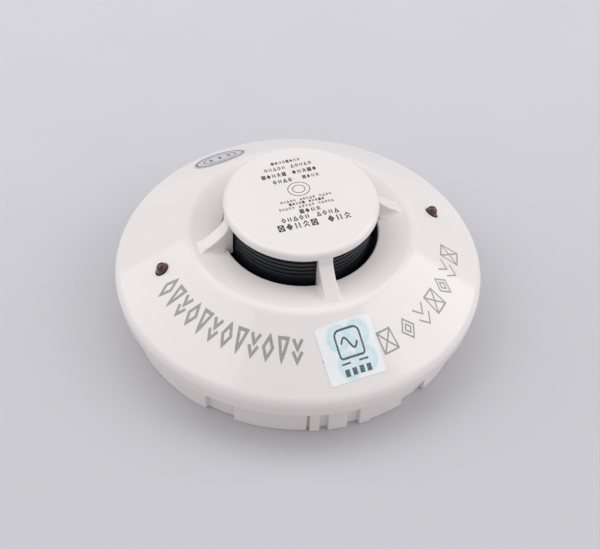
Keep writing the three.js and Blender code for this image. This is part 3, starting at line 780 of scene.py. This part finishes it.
def lattice(columns, heights, inner, outer, is_solid):
    """A tube wall made of cells, open where is_solid(column, row) says no."""
    rows = len(heights) - 1
    count = len(heights)

    def corner(i, j, k):
        return ((i % columns) * count + j) * 2 + k

    corners = []
    for i in range(columns):
        turn = 2 * math.pi * i / columns
        for z in heights:
            corners += [(r * math.cos(turn), r * math.sin(turn), z) for r in (inner, outer)]
    solid = {(i, j): is_solid(i, j) for i in range(columns) for j in range(rows)}
    faces = []
    for (i, j), filled in solid.items():
        if not filled:
            continue
        faces.append((corner(i, j, 1), corner(i + 1, j, 1), corner(i + 1, j + 1, 1), corner(i, j + 1, 1)))
        faces.append((corner(i, j, 0), corner(i, j + 1, 0), corner(i + 1, j + 1, 0), corner(i + 1, j, 0)))
        if j == 0 or not solid[i, j - 1]:
            faces.append((corner(i, j, 0), corner(i + 1, j, 0), corner(i + 1, j, 1), corner(i, j, 1)))
        if j == rows - 1 or not solid[i, j + 1]:
            faces.append((corner(i, j + 1, 0), corner(i, j + 1, 1), corner(i + 1, j + 1, 1),
                          corner(i + 1, j + 1, 0)))
        if not solid[(i - 1) % columns, j]:
            faces.append((corner(i, j, 0), corner(i, j, 1), corner(i, j + 1, 1), corner(i, j + 1, 0)))
        if not solid[(i + 1) % columns, j]:
            faces.append((corner(i + 1, j, 0), corner(i + 1, j + 1, 0), corner(i + 1, j + 1, 1),
                          corner(i + 1, j, 1)))
    used = sorted({c for face in faces for c in face})
    number = {old: new for new, old in enumerate(used)}
    return [corners[c] for c in used], [tuple(number[c] for c in face) for face in faces]


def slot_levels():
    """Heights where the screen's wall and slots take turns, from its foot to its top."""
    levels = [SCREEN_BOTTOM]
    for row in range(SLOT_ROWS):
        levels += [SLOT_LOW + row * SLOT_PITCH, SLOT_LOW + row * SLOT_PITCH + SLOT_HEIGHT]
    return [*levels, SCREEN_TOP - 1]


def post_wall():
    """The inner half of the wall: slots between posts."""
    columns = 360

    def is_solid(i, j):
        spacing = 360 / POST_COUNT
        off = abs((i + 0.5) * 360 / columns % spacing - spacing / 2)
        return j % 2 == 0 or off < POST_HALF_ANGLE

    middle = SCREEN_RADIUS - SCREEN_WALL / 2
    return lattice(columns, slot_levels(), SCREEN_RADIUS - SCREEN_WALL, middle, is_solid)


def outer_rings():
    """The outer half of the wall: plain rings in front of the posts, sunk a little into them."""
    inner = SCREEN_RADIUS - SCREEN_WALL / 2 - 0.05
    edges = slot_levels()
    size = 0.12
    rings = [lathe(rounded([(inner, low), (SCREEN_RADIUS, low, size), (SCREEN_RADIUS, high, size),
                            (inner, high)], 3), 360) for low, high in zip(edges[::2], edges[1::2])]
    return together(*rings)


def screen_top():
    inner = SCREEN_RADIUS - SCREEN_WALL
    return lathe(rounded([(0, SCREEN_TOP), (0, SCREEN_TOP - SCREEN_WALL), (inner, SCREEN_TOP - SCREEN_WALL),
                          (inner, SCREEN_TOP - 1.05), (SCREEN_RADIUS, SCREEN_TOP - 1.05),
                          (SCREEN_RADIUS, SCREEN_TOP, 0.4)], 4), 360)


def gauze():
    """Fine mesh behind the slots."""
    wires = 150
    low, high, rows = 29.2, 34.7, 12
    levels = [low + (high - low) * (i + share) / rows for i in range(rows) for share in (0, 0.3)] + [high]

    def is_solid(i, j):
        return i % 2 == 0 or j % 2 == 0

    outer = SCREEN_RADIUS - SCREEN_WALL - 0.01
    return lattice(2 * wires, levels, outer - 0.15, outer, is_solid)


def insect_screen():
    wall = build("screen_wall", post_wall(), BLACK)
    combine(wall, outer_rings(), "UNION")
    combine(wall, screen_top(), "UNION")
    smooth(wall.data, 32)
    place(wall, "screen_body", "black_plastic", "insect_screen")
    mesh = build("screen_gauze", gauze(), TIN)
    place(mesh, "screen_body", "tinned_steel")


# ---------------------------------------------------------------- refined CAD nodes

def refined(node, material, width, slot):
    """A copy of a CAD node with rounded edges, which stands for it."""
    mesh = frame["nodes"][node].data.copy()
    mesh.materials.clear()
    mesh.materials.append(material)
    smooth(mesh, 30)
    flatten(mesh)
    made = soften(new_object(node + "_fine", mesh), width)
    place(made, body_of(node), slot, node)


def flatten(mesh):
    """Dissolves the edges between faces that lie in one plane."""
    work = bmesh.new()
    work.from_mesh(mesh)
    bmesh.ops.dissolve_limit(work, angle_limit=math.radians(0.5), verts=work.verts, edges=work.edges)
    work.to_mesh(mesh)
    work.free()


# ---------------------------------------------------------------- lamps, screws, rivets

def indicator_leds():
    foot = BOARD_SEAT + 1.6
    dome = arc((0, LED_TOP - LED_RADIUS), LED_RADIUS, 0, math.pi / 2, 12)[:-1]
    outline = rounded([(0, foot), (LED_RADIUS + 0.2, foot, 0.1), (LED_RADIUS + 0.2, foot + 0.7, 0.1),
                       (LED_RADIUS, foot + 0.7), *dome, (0, LED_TOP)], 3)
    spacer = rounded([(0, BOARD_SEAT), (1.7, BOARD_SEAT, 0.1), (1.7, BOARD_SEAT + 1.3, 0.15),
                      (0, BOARD_SEAT + 1.3)], 3)
    for i, azimuth in enumerate(LED_AZIMUTHS):
        where = on_board(azimuth, LED_CIRCLE)
        node = f"indicator_led_{i + 1}"
        lamp = build(f"lamp_{i + 1}", moved(lathe(outline, ROUND_SMALL), where), RED)
        place(lamp, body_of(node), "red_lens", node)
        node = f"led_spacer_{i + 1}"
        made = build(f"spacer_{i + 1}", moved(lathe(spacer, ROUND_SMALL), where), BLACK)
        place(made, body_of(node), "black_plastic", node)


def board_screws():
    """Pan-head screws with a cross recess."""
    low, high = BOARD_SEAT, BOARD_SEAT + 1.9
    outline = rounded([(0, 11), (0.6, 11), (1.2, 12), (1.2, low), (2.8, low, 0.15), (2.8, low + 0.9, 0.5),
                       (2, high, 0.6), (0, high)], 4)
    cross = [box(a, b, (high - 1, high + 1)) for a, b in ((3.2, 0.7), (0.7, 3.2))]
    for i, azimuth in enumerate(SCREW_AZIMUTHS):
        where = on_board(azimuth, SCREW_CIRCLE)
        node = f"board_screw_{i + 1}"
        made = build(f"screw_{i + 1}", moved(lathe(outline, ROUND_SMALL), where), TIN)
        for arm in cross:
            combine(made, moved(arm, where @ turned_to(20 * i)), "DIFFERENCE")
        place(soften(made, 0.08), body_of(node), "tinned_steel", node)


def contact_rivets():
    high = BOARD_TOP + 0.8
    outline = rounded([(0, 3.4), (3, 3.4, 0.55), (3, 4.6, 0.15), (1.4, 4.6), (1.4, 8.3), (2.6, 8.3, 0.15),
                       (2.6, 9.3, 0.4), (0.6, 9.3, 0.3), (0.6, high, 0.2), (0, high)], 4)
    for i, azimuth in enumerate(CONTACT_AZIMUTHS):
        node = f"contact_rivet_{i + 1}"
        solid = moved(lathe(outline, ROUND_SMALL), on_board(azimuth, CONTACT_CIRCLE))
        place(build(f"rivet_{i + 1}", solid, BRASS), body_of(node), "contact_brass", node)
        refined(f"contact_blade_{i + 1}", BRASS, 0.12, "contact_brass")


# ---------------------------------------------------------------- circuit board and its parts

def circuit_board():
    outline = rounded([(0, BOARD_BOTTOM), (BOARD_RADIUS, BOARD_BOTTOM, 0.15),
                       (BOARD_RADIUS, BOARD_TOP, 0.15), (0, BOARD_TOP)], 3)
    made = build("printed_board", lathe(outline, ROUND_BIG), GREEN)
    cutters = []
    for azimuths, circle, radius in ((SCREW_AZIMUTHS, SCREW_CIRCLE, 1.7),
                                     (CONTACT_AZIMUTHS, CONTACT_CIRCLE, 0.9)):
        cutters += around(cylinder(radius, BOARD_BOTTOM - 1, BOARD_TOP + 1), azimuths, circle)
    combine(made, together(*cutters), "DIFFERENCE")
    smooth(made.data, 32)
    place(made, body_of("circuit_board"), "board_green", "circuit_board")


def solder_joints():
    """A dome of solder round each contact pin."""
    dome = rounded([(0.62, BOARD_TOP - 0.1), (1.9, BOARD_TOP - 0.1), (1.9, BOARD_TOP + 0.08),
                    (1.0, BOARD_TOP + 0.35, 0.4), (0.62, BOARD_TOP + 0.62)], 3)
    joints = around(lathe(dome, ROUND_SMALL), CONTACT_AZIMUTHS, CONTACT_CIRCLE)
    made = build("solder_joints", together(*joints), SOLDER)
    place(made, body_of("circuit_board"), "tinned_steel")


def package(length, width, height):
    """A moulded body whose sides taper to top and bottom."""
    low, high = BOARD_SEAT + 0.2, BOARD_SEAT + height
    middle = (low + high) / 2
    taper = 0.18
    sections = []
    for z, inset in ((low, taper), (middle - 0.08, 0), (middle + 0.08, 0), (high, taper)):
        x, y = length / 2 - inset, width / 2 - inset
        sections.append([(-x, -y, z), (x, -y, z), (x, y, z), (-x, y, z)])
    return loft(sections)


def gull_wings(length, width, height, legs_per_side):
    """Bent legs along both long sides."""
    shelf = BOARD_SEAT + height * 0.5
    line = [(width / 2 - 0.3, shelf), (width / 2 + 0.25, shelf), (width / 2 + 0.45, BOARD_SEAT + 0.12),
            (width / 2 + 1, BOARD_SEAT + 0.12)]
    pitch = length / legs_per_side
    leg = ribbon(line, 0.2, pitch * 0.45)
    legs = []
    for side in (0, 180):
        for i in range(legs_per_side):
            x = (i - (legs_per_side - 1) / 2) * pitch
            legs.append(moved(leg, turned_to(side) @ aside(x)))
    return together(*legs)


def chip(node, length, width, height, legs_per_side, azimuth, radius):
    """A chip with a pin-one dimple and gull-wing legs."""
    where = on_board(azimuth, radius)
    body = build(node + "_body", moved(package(length, width, height), where), COMPOUND)
    dimple = cylinder(0.45, BOARD_SEAT + height - 0.12, BOARD_SEAT + height + 1)
    corner = aside(length / 2 - 1, width / 2 - 1)
    combine(body, moved(dimple, where @ corner), "DIFFERENCE")
    place(soften(body, 0.09, limit=20), body_of(node), "chip_black", node)
    legs = build(node + "_legs", moved(gull_wings(length, width, height, legs_per_side), where), TIN)
    place(soften(legs, 0.03, 1), body_of(node), "tinned_steel")


def chips():
    """Each chip's length, width, height, legs on a side, azimuth and distance from the axis."""
    chip("controller_chip", 10.3, 7.5, 2.3, 8, 225, 33)
    chip("amplifier_chip", 5, 4, 1.7, 4, 252, 32)
    chip("alarm_transistor", 6.5, 5.6, 2.3, 2, 200, 31)
    chip("bridge_rectifier", 6.4, 5, 2.5, 2, 68, 30)
    chip("surge_suppressor", 4.6, 3.6, 2.2, 1, 20, 31)


def capacitor(node, radius, height, azimuth, circle):
    """An aluminium can with a rolled neck, a scored top and a black base."""
    where = on_board(azimuth, circle)
    top, neck = BOARD_SEAT + height, BOARD_SEAT + 1.4
    outline = rounded([(0, BOARD_SEAT + 0.5), (radius, BOARD_SEAT + 0.5, 0.1), (radius, neck - 0.4, 0.2),
                       (radius - 0.4, neck, 0.25), (radius, neck + 0.4, 0.2), (radius, top, 0.35),
                       (radius - 0.6, top, 0.1), (radius - 0.75, top - 0.12, 0.1), (0, top - 0.12)], 3)
    can = build(node + "_can", moved(lathe(outline, ROUND_SMALL), where), FOIL)
    for turn in (0, 90):
        score = box(radius * 1.2, 0.18, (top - 0.22, top + 1))
        combine(can, moved(score, where @ turned_to(turn)), "DIFFERENCE")
    smooth(can.data, 32)
    place(can, body_of(node), "silver_foil", node)
    base = build(node + "_base", moved(box(2 * radius, 2 * radius, (BOARD_SEAT, BOARD_SEAT + 0.5)), where),
                 COMPOUND)
    place(soften(base, 0.12), body_of(node), "chip_black")


def shield_can():
    """A tinned lid with a grid of vent holes and rounded edges."""
    where = on_board(97, 31.5)
    low, high = BOARD_SEAT, BOARD_SEAT + 4
    made = build("shield_lid", moved(box(13, 10, (low, high)), where), TIN)
    combine(made, moved(box(12.2, 9.2, (low - 1, high - 0.4)), where), "DIFFERENCE")
    vent = cylinder(0.6, high - 1, high + 1, 24)
    vents = [moved(vent, where @ aside(x, y)) for x in (-4, -2, 0, 2, 4) for y in (-2, 0, 2)]
    combine(made, together(*vents), "DIFFERENCE")
    place(soften(made, 0.25, 3, 60), body_of("shield_can"), "tinned_steel", "shield_can")


def reed_switch():
    """A glass capsule with two flat reeds that overlap inside it and bend down to the board."""
    where = on_board(318, 34)
    height = BOARD_SEAT + 1.6
    end = arc((5.5, 0), 1.1, 0, math.pi / 2, 8)
    profile = [(r, z) for z, r in end] + [(r, -z) for z, r in reversed(end)]
    lying = where @ aside(0, 0, height) @ Matrix.Rotation(math.pi / 2, 4, "Y")
    glass = build("reed_glass", moved(lathe(profile, ROUND_SMALL), lying), CLEAR)
    place(glass, body_of("reed_switch"), "clear_lens", "reed_switch")
    line = [(6.7, height), (8.45, height), (8.7, height - 0.25), (8.7, BOARD_SEAT)]
    lead = ribbon(line, 0.4, 0.5)
    leads = [moved(lead, where @ turned_to(side)) for side in (90, -90)]
    made = build("reed_leads", together(*leads), TIN)
    place(soften(made, 0.06), body_of("reed_switch"), "tinned_steel")


def resistors():
    """Ceramic blocks with tinned ends."""
    for i, azimuth in enumerate((293, 301, 309, 341)):
        where = on_board(azimuth, 27.5)
        node = f"resistor_{i + 1}"
        body = build(f"{node}_body", moved(box(2.3, 1.56, (BOARD_SEAT + 0.02, BOARD_SEAT + 0.57)), where),
                     CERAMIC)
        place(soften(body, 0.05), body_of(node), "chip_black", node)
        ends = [box(0.44, 1.6, (BOARD_SEAT, BOARD_SEAT + 0.6), (side * 1.38, 0)) for side in (-1, 1)]
        made = build(f"{node}_ends", moved(together(*ends), where), SOLDER)
        place(soften(made, 0.08), body_of(node), "tinned_steel")


def board_parts():
    chips()
    capacitor("storage_capacitor", 3.15, 7.2, 124, 28.6)
    capacitor("filter_capacitor", 2.5, 5.4, 142, 28.6)
    shield_can()
    reed_switch()
    resistors()
    solder_joints()


# ---------------------------------------------------------------- chamber

def optics():
    profile = [(0, 9.6), *arc((0, 12), 2.4, -math.pi / 2, 0, 10)[1:], (2.5, 16), (2.9, 16), (2.9, 17.3),
               (0, 17.3)]
    emitter = build("emitter_bulb", moved(lathe(profile, ROUND_SMALL), along_axis(EMITTER_AZIMUTH)), CLEAR)
    place(emitter, body_of("infrared_emitter"), "clear_lens", "infrared_emitter")
    leads = [box(0.5, 0.5, (BOARD_SEAT, OPTICAL_HEIGHT), (LEAD_RADIUS, side * 1.27)) for side in (-1, 1)]
    made = build("emitter_leads", moved(together(*leads), turned_to(EMITTER_AZIMUTH)), TIN)
    place(soften(made, 0.08), body_of("infrared_emitter"), "tinned_steel")
    profile = [(0, 10), *arc((0, 13.4), 3.4, -math.pi / 2, -0.75, 10)[1:], (2.5, 12.6), (0, 12.6)]
    lens = build("lens", moved(lathe(profile, ROUND_SMALL), along_axis(RECEIVER_AZIMUTH)), CLEAR)
    place(lens, body_of("receiver_lens"), "clear_lens", "receiver_lens")
    refined("photodiode", COMPOUND, 0.12, "chip_black")


def chamber():
    refined("chamber_base", BLACK, 0.15, "black_plastic")
    refined("chamber_lid", BLACK, 0.12, "black_plastic")
    optics()


# ---------------------------------------------------------------- stickers and print

SQUARE_HALF = (7.75, 6.5)
SQUARE_TURN = math.radians(4.5)
OVAL_CENTRE = (-11.5, 39.3)
OVAL_HALF = (7.55, 5.7)
FILM_TOP = 0.16
INK_LIFT = 0.02
INK_DEPTH = 0.05


def sheet(centre, edge, rings=14, sides=96):
    """A thin closed film on the cone. edge(turn) gives its edge in plan about its centre."""
    corners, faces = [], []
    for level in (0, FILM_TOP):
        for ring in range(rings + 1):
            for i in range(sides):
                x, y = edge(2 * math.pi * i / sides)
                share = ring / rings
                x, y = centre[0] + x * share, centre[1] + y * share
                corners.append((x, y, cone_height(x, y) + level))
    layer = (rings + 1) * sides
    for i in range(sides):
        k = (i + 1) % sides
        for ring in range(rings):
            a, b = ring * sides + i, ring * sides + k
            faces.append((a, a + sides, b + sides, b))
            faces.append((layer + a, layer + b, layer + b + sides, layer + a + sides))
        a, b = rings * sides + i, rings * sides + k
        faces.append((a, layer + a, layer + b, b))
    return corners, faces


def film(name, centre, edge, material, slot, node):
    place(build(name, sheet(centre, edge), material, 50), "cover_body", slot, node)


def on_sticker(u, v, centre=STICKER_CENTRE):
    """Carries offsets along the square sticker's sides to plan."""
    c, s = math.cos(SQUARE_TURN), math.sin(SQUARE_TURN)
    return centre[0] + u * c - v * s, centre[1] + u * s + v * c


def square_edge(turn):
    """The square sticker's edge with slightly rounded corners, about its centre."""
    x, y = math.cos(turn), math.sin(turn)
    power = 26  # the higher, the sharper the corners
    size = (abs(x / SQUARE_HALF[0]) ** power + abs(y / SQUARE_HALF[1]) ** power) ** (-1 / power)
    return on_sticker(x * size, y * size, (0, 0))


def oval_edge(turn):
    return OVAL_HALF[0] * math.cos(turn), OVAL_HALF[1] * math.sin(turn)


def stroke(line, width, height, lift):
    """A thin line of ink along points in plan, laid on a surface."""
    points = [Vector(p) for p in line]
    closed = (points[0] - points[-1]).length < 1e-6
    if closed:
        points = points[:-1]
    count = len(points)
    sides = ([], [])
    for i, here in enumerate(points):
        before = points[i - 1] if closed or i else here
        after = points[(i + 1) % count] if closed or i < count - 1 else here
        back = (here - before).normalized()
        ahead = (after - here).normalized()
        way = (back + ahead).normalized()
        normal = Vector((-way.y, way.x)) * width / 2
        stretch = max(0.5, abs(way.dot(ahead if ahead.length else back)))
        sides[0].append(here + normal / stretch)
        sides[1].append(here - normal / stretch)
    sections = []
    for left, right in zip(*sides):
        tops = [(p.x, p.y, height(p.x, p.y) + lift) for p in (left, right)]
        lows = [(x, y, z - INK_DEPTH) for x, y, z in reversed(tops)]
        sections.append(tops + lows)
    corners, faces = loft(sections)
    if closed:
        last = (count - 1) * 4
        faces = faces[1:-1] + [(last + j, last + (j + 1) % 4, (j + 1) % 4, j) for j in range(4)]
    return corners, faces


def finer(line, most):
    """Adds points to a line so that none lie further apart than `most`."""
    points = [Vector(line[0])]
    for end in line[1:]:
        start, end = points[-1].copy(), Vector(end)
        steps = max(1, math.ceil((end - start).length / most))
        points += [start.lerp(end, i / steps) for i in range(1, steps + 1)]
    return points


# Plain figures that stand where print is, each drawn in a unit square.
MARKS = {
    "bars": [[(0.15, 0), (0.15, 1)], [(0.85, 0), (0.85, 1)]],
    "triangle": [[(0, 0), (1, 0), (0.5, 1), (0, 0)]],
    "diamond": [[(0.5, 0), (1, 0.5), (0.5, 1), (0, 0.5), (0.5, 0)]],
    "kite": [[(0.5, 0), (1, 0.5), (0.5, 1), (0, 0.5), (0.5, 0)],
             [(0.5, 0.28), (0.72, 0.5), (0.5, 0.72), (0.28, 0.5), (0.5, 0.28)]],
    "chevrons": [[(0, 0), (0.5, 0.45), (1, 0)], [(0, 0.55), (0.5, 1), (1, 0.55)]],
    "crossed box": [[(0, 0), (1, 0), (1, 1), (0, 1), (0, 0)], [(0, 0), (1, 1)], [(0, 1), (1, 0)]],
}


def mark(kind, width, height, weight, to_plan, surface, lift):
    """One mark of a width and height about the origin, carried to its place by to_plan(u, v)."""
    strokes = []
    for line in MARKS[kind]:
        local = [((u - 0.5) * (width - weight), (v - 0.5) * (height - weight)) for u, v in line]
        points = [to_plan(*p) for p in finer(local, 1.0)]
        strokes.append(stroke(points, weight, surface, lift))
    return together(*strokes)


def printed(name, strokes, material):
    """Print on the cover, made of strokes and spots."""
    place(build(name, together(*strokes), material), "cover_body", None)


def on_arc(azimuth, radius):
    """Carries (along, outward) offsets to plan, round the head's axis."""
    turn = math.radians(azimuth)

    def to_plan(along, outward):
        angle = turn + along / radius
        return (radius + outward) * math.cos(angle), (radius + outward) * math.sin(angle)

    return to_plan


def dot(azimuth, radius):
    """A round spot of ink on the cone."""
    where = on_arc(azimuth, radius)
    spot = [where(0.5 * math.cos(t), 0.5 * math.sin(t)) for t in (2 * math.pi * i / 20 for i in range(20))]
    levels = (INK_LIFT - INK_DEPTH, INK_LIFT)
    return loft([[(x, y, cone_height(x, y) + level) for x, y in spot] for level in levels])


def cone_print():
    """Marks round the cone: a bold row and two spots left of the square sticker, a fine row right of it."""
    left = [dot(260.8, 40.3), dot(261.0, 41.9)]
    kinds = cycle(("diamond", "triangle", "chevrons"))
    for i in range(12):
        where = on_arc(189.7 + 5.6 * i, 39.4)
        left.append(mark(next(kinds), 3.2, 5.7, 0.8, where, cone_height, INK_LIFT))
    printed("cone_print_left", left, CONE_INK)
    right = []
    kinds = cycle(("crossed box", "kite", "chevrons"))
    for azimuth in (286, 296, 305, 313.5, 322, 330.5, 338.5):
        where = on_arc(azimuth, 41.3)
        right.append(mark(next(kinds), 4.6, 5.2, 0.42, where, cone_height, INK_LIFT))
    printed("cone_print_right", right, FAINT_INK)


OPEN_KINDS = ("diamond", "bars", "triangle")
DENSE_KINDS = ("crossed box", "kite", "bars", "chevrons")

# Lines of print on the cap: (y, first x, last x, height of the marks, weight).
CAP_LINES = (
    (15.1, -4.0, 5.5, 1.1, 0.19), (13.0, -6.6, 8.2, 1.3, 0.22), (10.5, -8.1, 10.0, 1.5, 0.28),
    (8.0, -5.7, 1.1, 1.5, 0.32), (8.0, 2.7, 8.7, 1.3, 0.22), (0.0, -6.1, 8.6, 0.95, 0.18),
    (-1.3, -4.0, 6.4, 0.95, 0.2), (-2.6, -7.2, 10.0, 0.95, 0.18), (-4.5, -2.1, 4.4, 1.6, 0.3),
    (-6.6, -7.9, 8.5, 1.7, 0.32), (-9.2, -9.7, 11.4, 2.4, 0.36),
)


def cap_print():
    """Rows of marks with a gap after every fifth in the long ones, and two rings between them."""
    strokes = []
    for row, (y, start, end, height, weight) in enumerate(CAP_LINES):
        kinds = cycle(OPEN_KINDS if row % 2 else DENSE_KINDS)
        width = height * 0.74
        pitch = height * 0.96
        count = int((end - start) / pitch)
        for i in range(count):
            if count > 8 and i % 6 == 5:
                continue
            x = start + pitch * (i + 0.5)

            def to_plan(u, v, x=x, y=y):
                return x + u, y + v

            strokes.append(mark(next(kinds), width, height, weight, to_plan, cap_height, INK_LIFT))
    for size in (3.0, 1.7):
        ring = [(0.5 + size * math.cos(math.radians(a)), 3.9 + size * 0.86 * math.sin(math.radians(a)))
                for a in range(0, 361, 10)]
        strokes.append(stroke(ring, 0.2, cap_height, INK_LIFT))
    printed("cap_print", strokes, CAP_INK)


def sticker_print():
    """A plain emblem: a rounded frame, a wave in it, two base lines and a row of blocks."""
    lift = FILM_TOP + INK_LIFT
    border = rounded([(-3.2, -1.6, 0.8), (3.6, -1.6, 0.8), (3.6, 4.6, 1.4), (-3.2, 4.6, 1.4)], 6)
    wave = [(-2.0 + 4.4 * i / 24, 1.5 + 1.3 * math.sin(2 * math.pi * i / 24)) for i in range(25)]
    lines = [(finer([*border, border[0]], 0.5), 0.5), (wave, 0.5)]
    lines += [(finer([(start, -2.7), (end, -2.7)], 0.5), 0.42) for start, end in ((-3.4, -1.0), (1.4, 4.0))]
    strokes = [stroke([on_sticker(*p) for p in line], width, cone_height, lift) for line, width in lines]
    for i in range(4):
        block = [on_sticker(-2.5 + 2.0 * i, v) for v in (-5.5, -4.7, -3.9)]
        strokes.append(stroke(block, 1.25, cone_height, lift))
    printed("sticker_print", strokes, STICKER_INK)


def oval_print():
    lift = FILM_TOP + INK_LIFT
    strokes = []
    for share, width in ((0.9, 0.5), (0.62, 0.3)):
        ring = []
        for i in range(73):
            x, y = oval_edge(2 * math.pi * i / 72)
            ring.append((OVAL_CENTRE[0] + x * share, OVAL_CENTRE[1] + y * share))
        strokes.append(stroke(ring, width, cone_height, lift))
    for x in (-2.6, 0, 2.6):
        line = [(OVAL_CENTRE[0] + x, OVAL_CENTRE[1] + y) for y in (-1.2, 0, 1.2)]
        strokes.append(stroke(line, 0.7, cone_height, lift))
    printed("oval_print", strokes, STICKER_INK)


def rating_label():
    """A blank paper disc with a printed border."""
    top, thickness, radius = FLOOR_BOTTOM - GAP, 0.25, 22
    outline = rounded([(0, top - thickness), (radius, top - thickness, 0.05), (radius, top), (0, top)], 2)
    label = build("label_disc", lathe(outline, ROUND_MID), PAPER)
    place(label, body_of("rating_label"), "paper_label", "rating_label")
    low = top - thickness - INK_LIFT
    rings = [lathe([(r, low), (r + 0.35, low), (r + 0.35, top - 0.1), (r, top - 0.1)], ROUND_MID)
             for r in (20.4, 19.4)]
    bars = [box(w, 0.9, (low, top - 0.1), (0, y)) for y, w in ((9, 16), (6, 22), (3, 22), (-9, 12))]
    made = build("label_print", together(*rings, *bars), CAP_INK)
    place(made, body_of("rating_label"), None)


# ---------------------------------------------------------------- stage

CAMERA_AZIMUTH = -20.0
CAMERA_ELEVATION = 47.0
CAMERA_DISTANCE = 0.450
CAMERA_ROLL = 2.75
CAMERA_TARGET = Vector((0.000546, -0.000199, 0.01035))


def away(azimuth, elevation):
    """Direction from the object: azimuth 0 is towards the camera, positive to its right."""
    a = math.radians(CAMERA_AZIMUTH + azimuth)
    e = math.radians(elevation)
    return Vector((math.sin(a) * math.cos(e), -math.cos(a) * math.cos(e), math.sin(e)))


def add_camera():
    lens = bpy.data.cameras.new("camera")
    lens.lens = 96
    lens.sensor_width = 36
    lens.clip_start = 0.01
    made = new_object("camera", lens)
    back = away(0, CAMERA_ELEVATION)
    made.rotation_mode = "QUATERNION"
    made.location = CAMERA_TARGET + back * CAMERA_DISTANCE
    roll = Quaternion((0, 0, 1), math.radians(CAMERA_ROLL))
    made.rotation_quaternion = (-back).to_track_quat("-Z", "Y") @ roll
    bpy.context.scene.camera = made


def softbox(name, azimuth, elevation, distance, width, height, power):
    """A rectangular light that faces the object. Metres and watts."""
    light = bpy.data.lights.new(name, "AREA")
    light.shape = "RECTANGLE"
    light.size = width
    light.size_y = height
    light.energy = power
    made = new_object(name, light)
    way = away(azimuth, elevation)
    made.rotation_mode = "QUATERNION"
    made.location = CAMERA_TARGET + way * distance
    made.rotation_quaternion = way.to_track_quat("Z", "Y")
    made.visible_camera = False


def add_lights():
    softbox("left_softbox", -92, 37, 0.9, 1.08, 1.0, 3.9)
    softbox("right_softbox", 101, 32.5, 0.9, 0.74, 0.72, 2.9)
    softbox("front_softbox", 45, 24, 1.2, 1.4, 0.6, 1.6)
    softbox("top_softbox", 180, 70, 1.2, 1.2, 0.8, 3.5)
    world = bpy.data.worlds.new("studio")
    bpy.context.scene.world = world
    world.use_nodes = True
    background = world.node_tree.nodes["Background"]
    background.inputs["Color"].default_value = (0.97, 0.98, 1.0, 1)
    background.inputs["Strength"].default_value = 0.5


def add_floor():
    """Pale paper with painted light: its colour is made a little lighter away from the camera, standing in
    for the brighter far floor.
    """
    material, surface = shader("floor_paper", (0.55, 0.55, 0.575), 0.6)
    y = add(material, "ShaderNodeSeparateXYZ", {"Vector": position(material)}).outputs["Y"]
    # painted light: the paper's colour lightens with distance from the camera, in place of light falling
    # brighter on the far floor
    painted_far_light = spread(material, y, 0, 1, -0.05, 0.15)
    color = blend(material, painted_far_light, (0.555, 0.551, 0.582), (0.625, 0.620, 0.655))
    grain = spread(material, noise(material, 30, 3), 0, 0.2)
    feed(material, blend(material, grain, color, (0.545, 0.541, 0.572)), surface.inputs["Base Color"])
    relief(material, surface, noise(material, 1500, 3), 0.02)
    half = 8  # metres
    mesh = bpy.data.meshes.new("floor")
    mesh.from_pydata([(-half, -half, 0), (half, -half, 0), (half, half, 0), (-half, half, 0)], [],
                     [(0, 1, 2, 3)])
    mesh.materials.append(material)
    floor = new_object("floor", mesh)


add_camera()
add_lights()
add_floor()
bpy.context.scene.view_settings.view_transform = "Standard"
cover()
back_housing()
insect_screen()
chamber()
circuit_board()
board_parts()
indicator_leds()
board_screws()
contact_rivets()
film("square_film", STICKER_CENTRE, square_edge, FILM, "paper_label", "square_sticker")
film("oval_film", OVAL_CENTRE, oval_edge, SILVER_FILM, "silver_foil", "oval_sticker")
cone_print()
cap_print()
sticker_print()
oval_print()
rating_label()
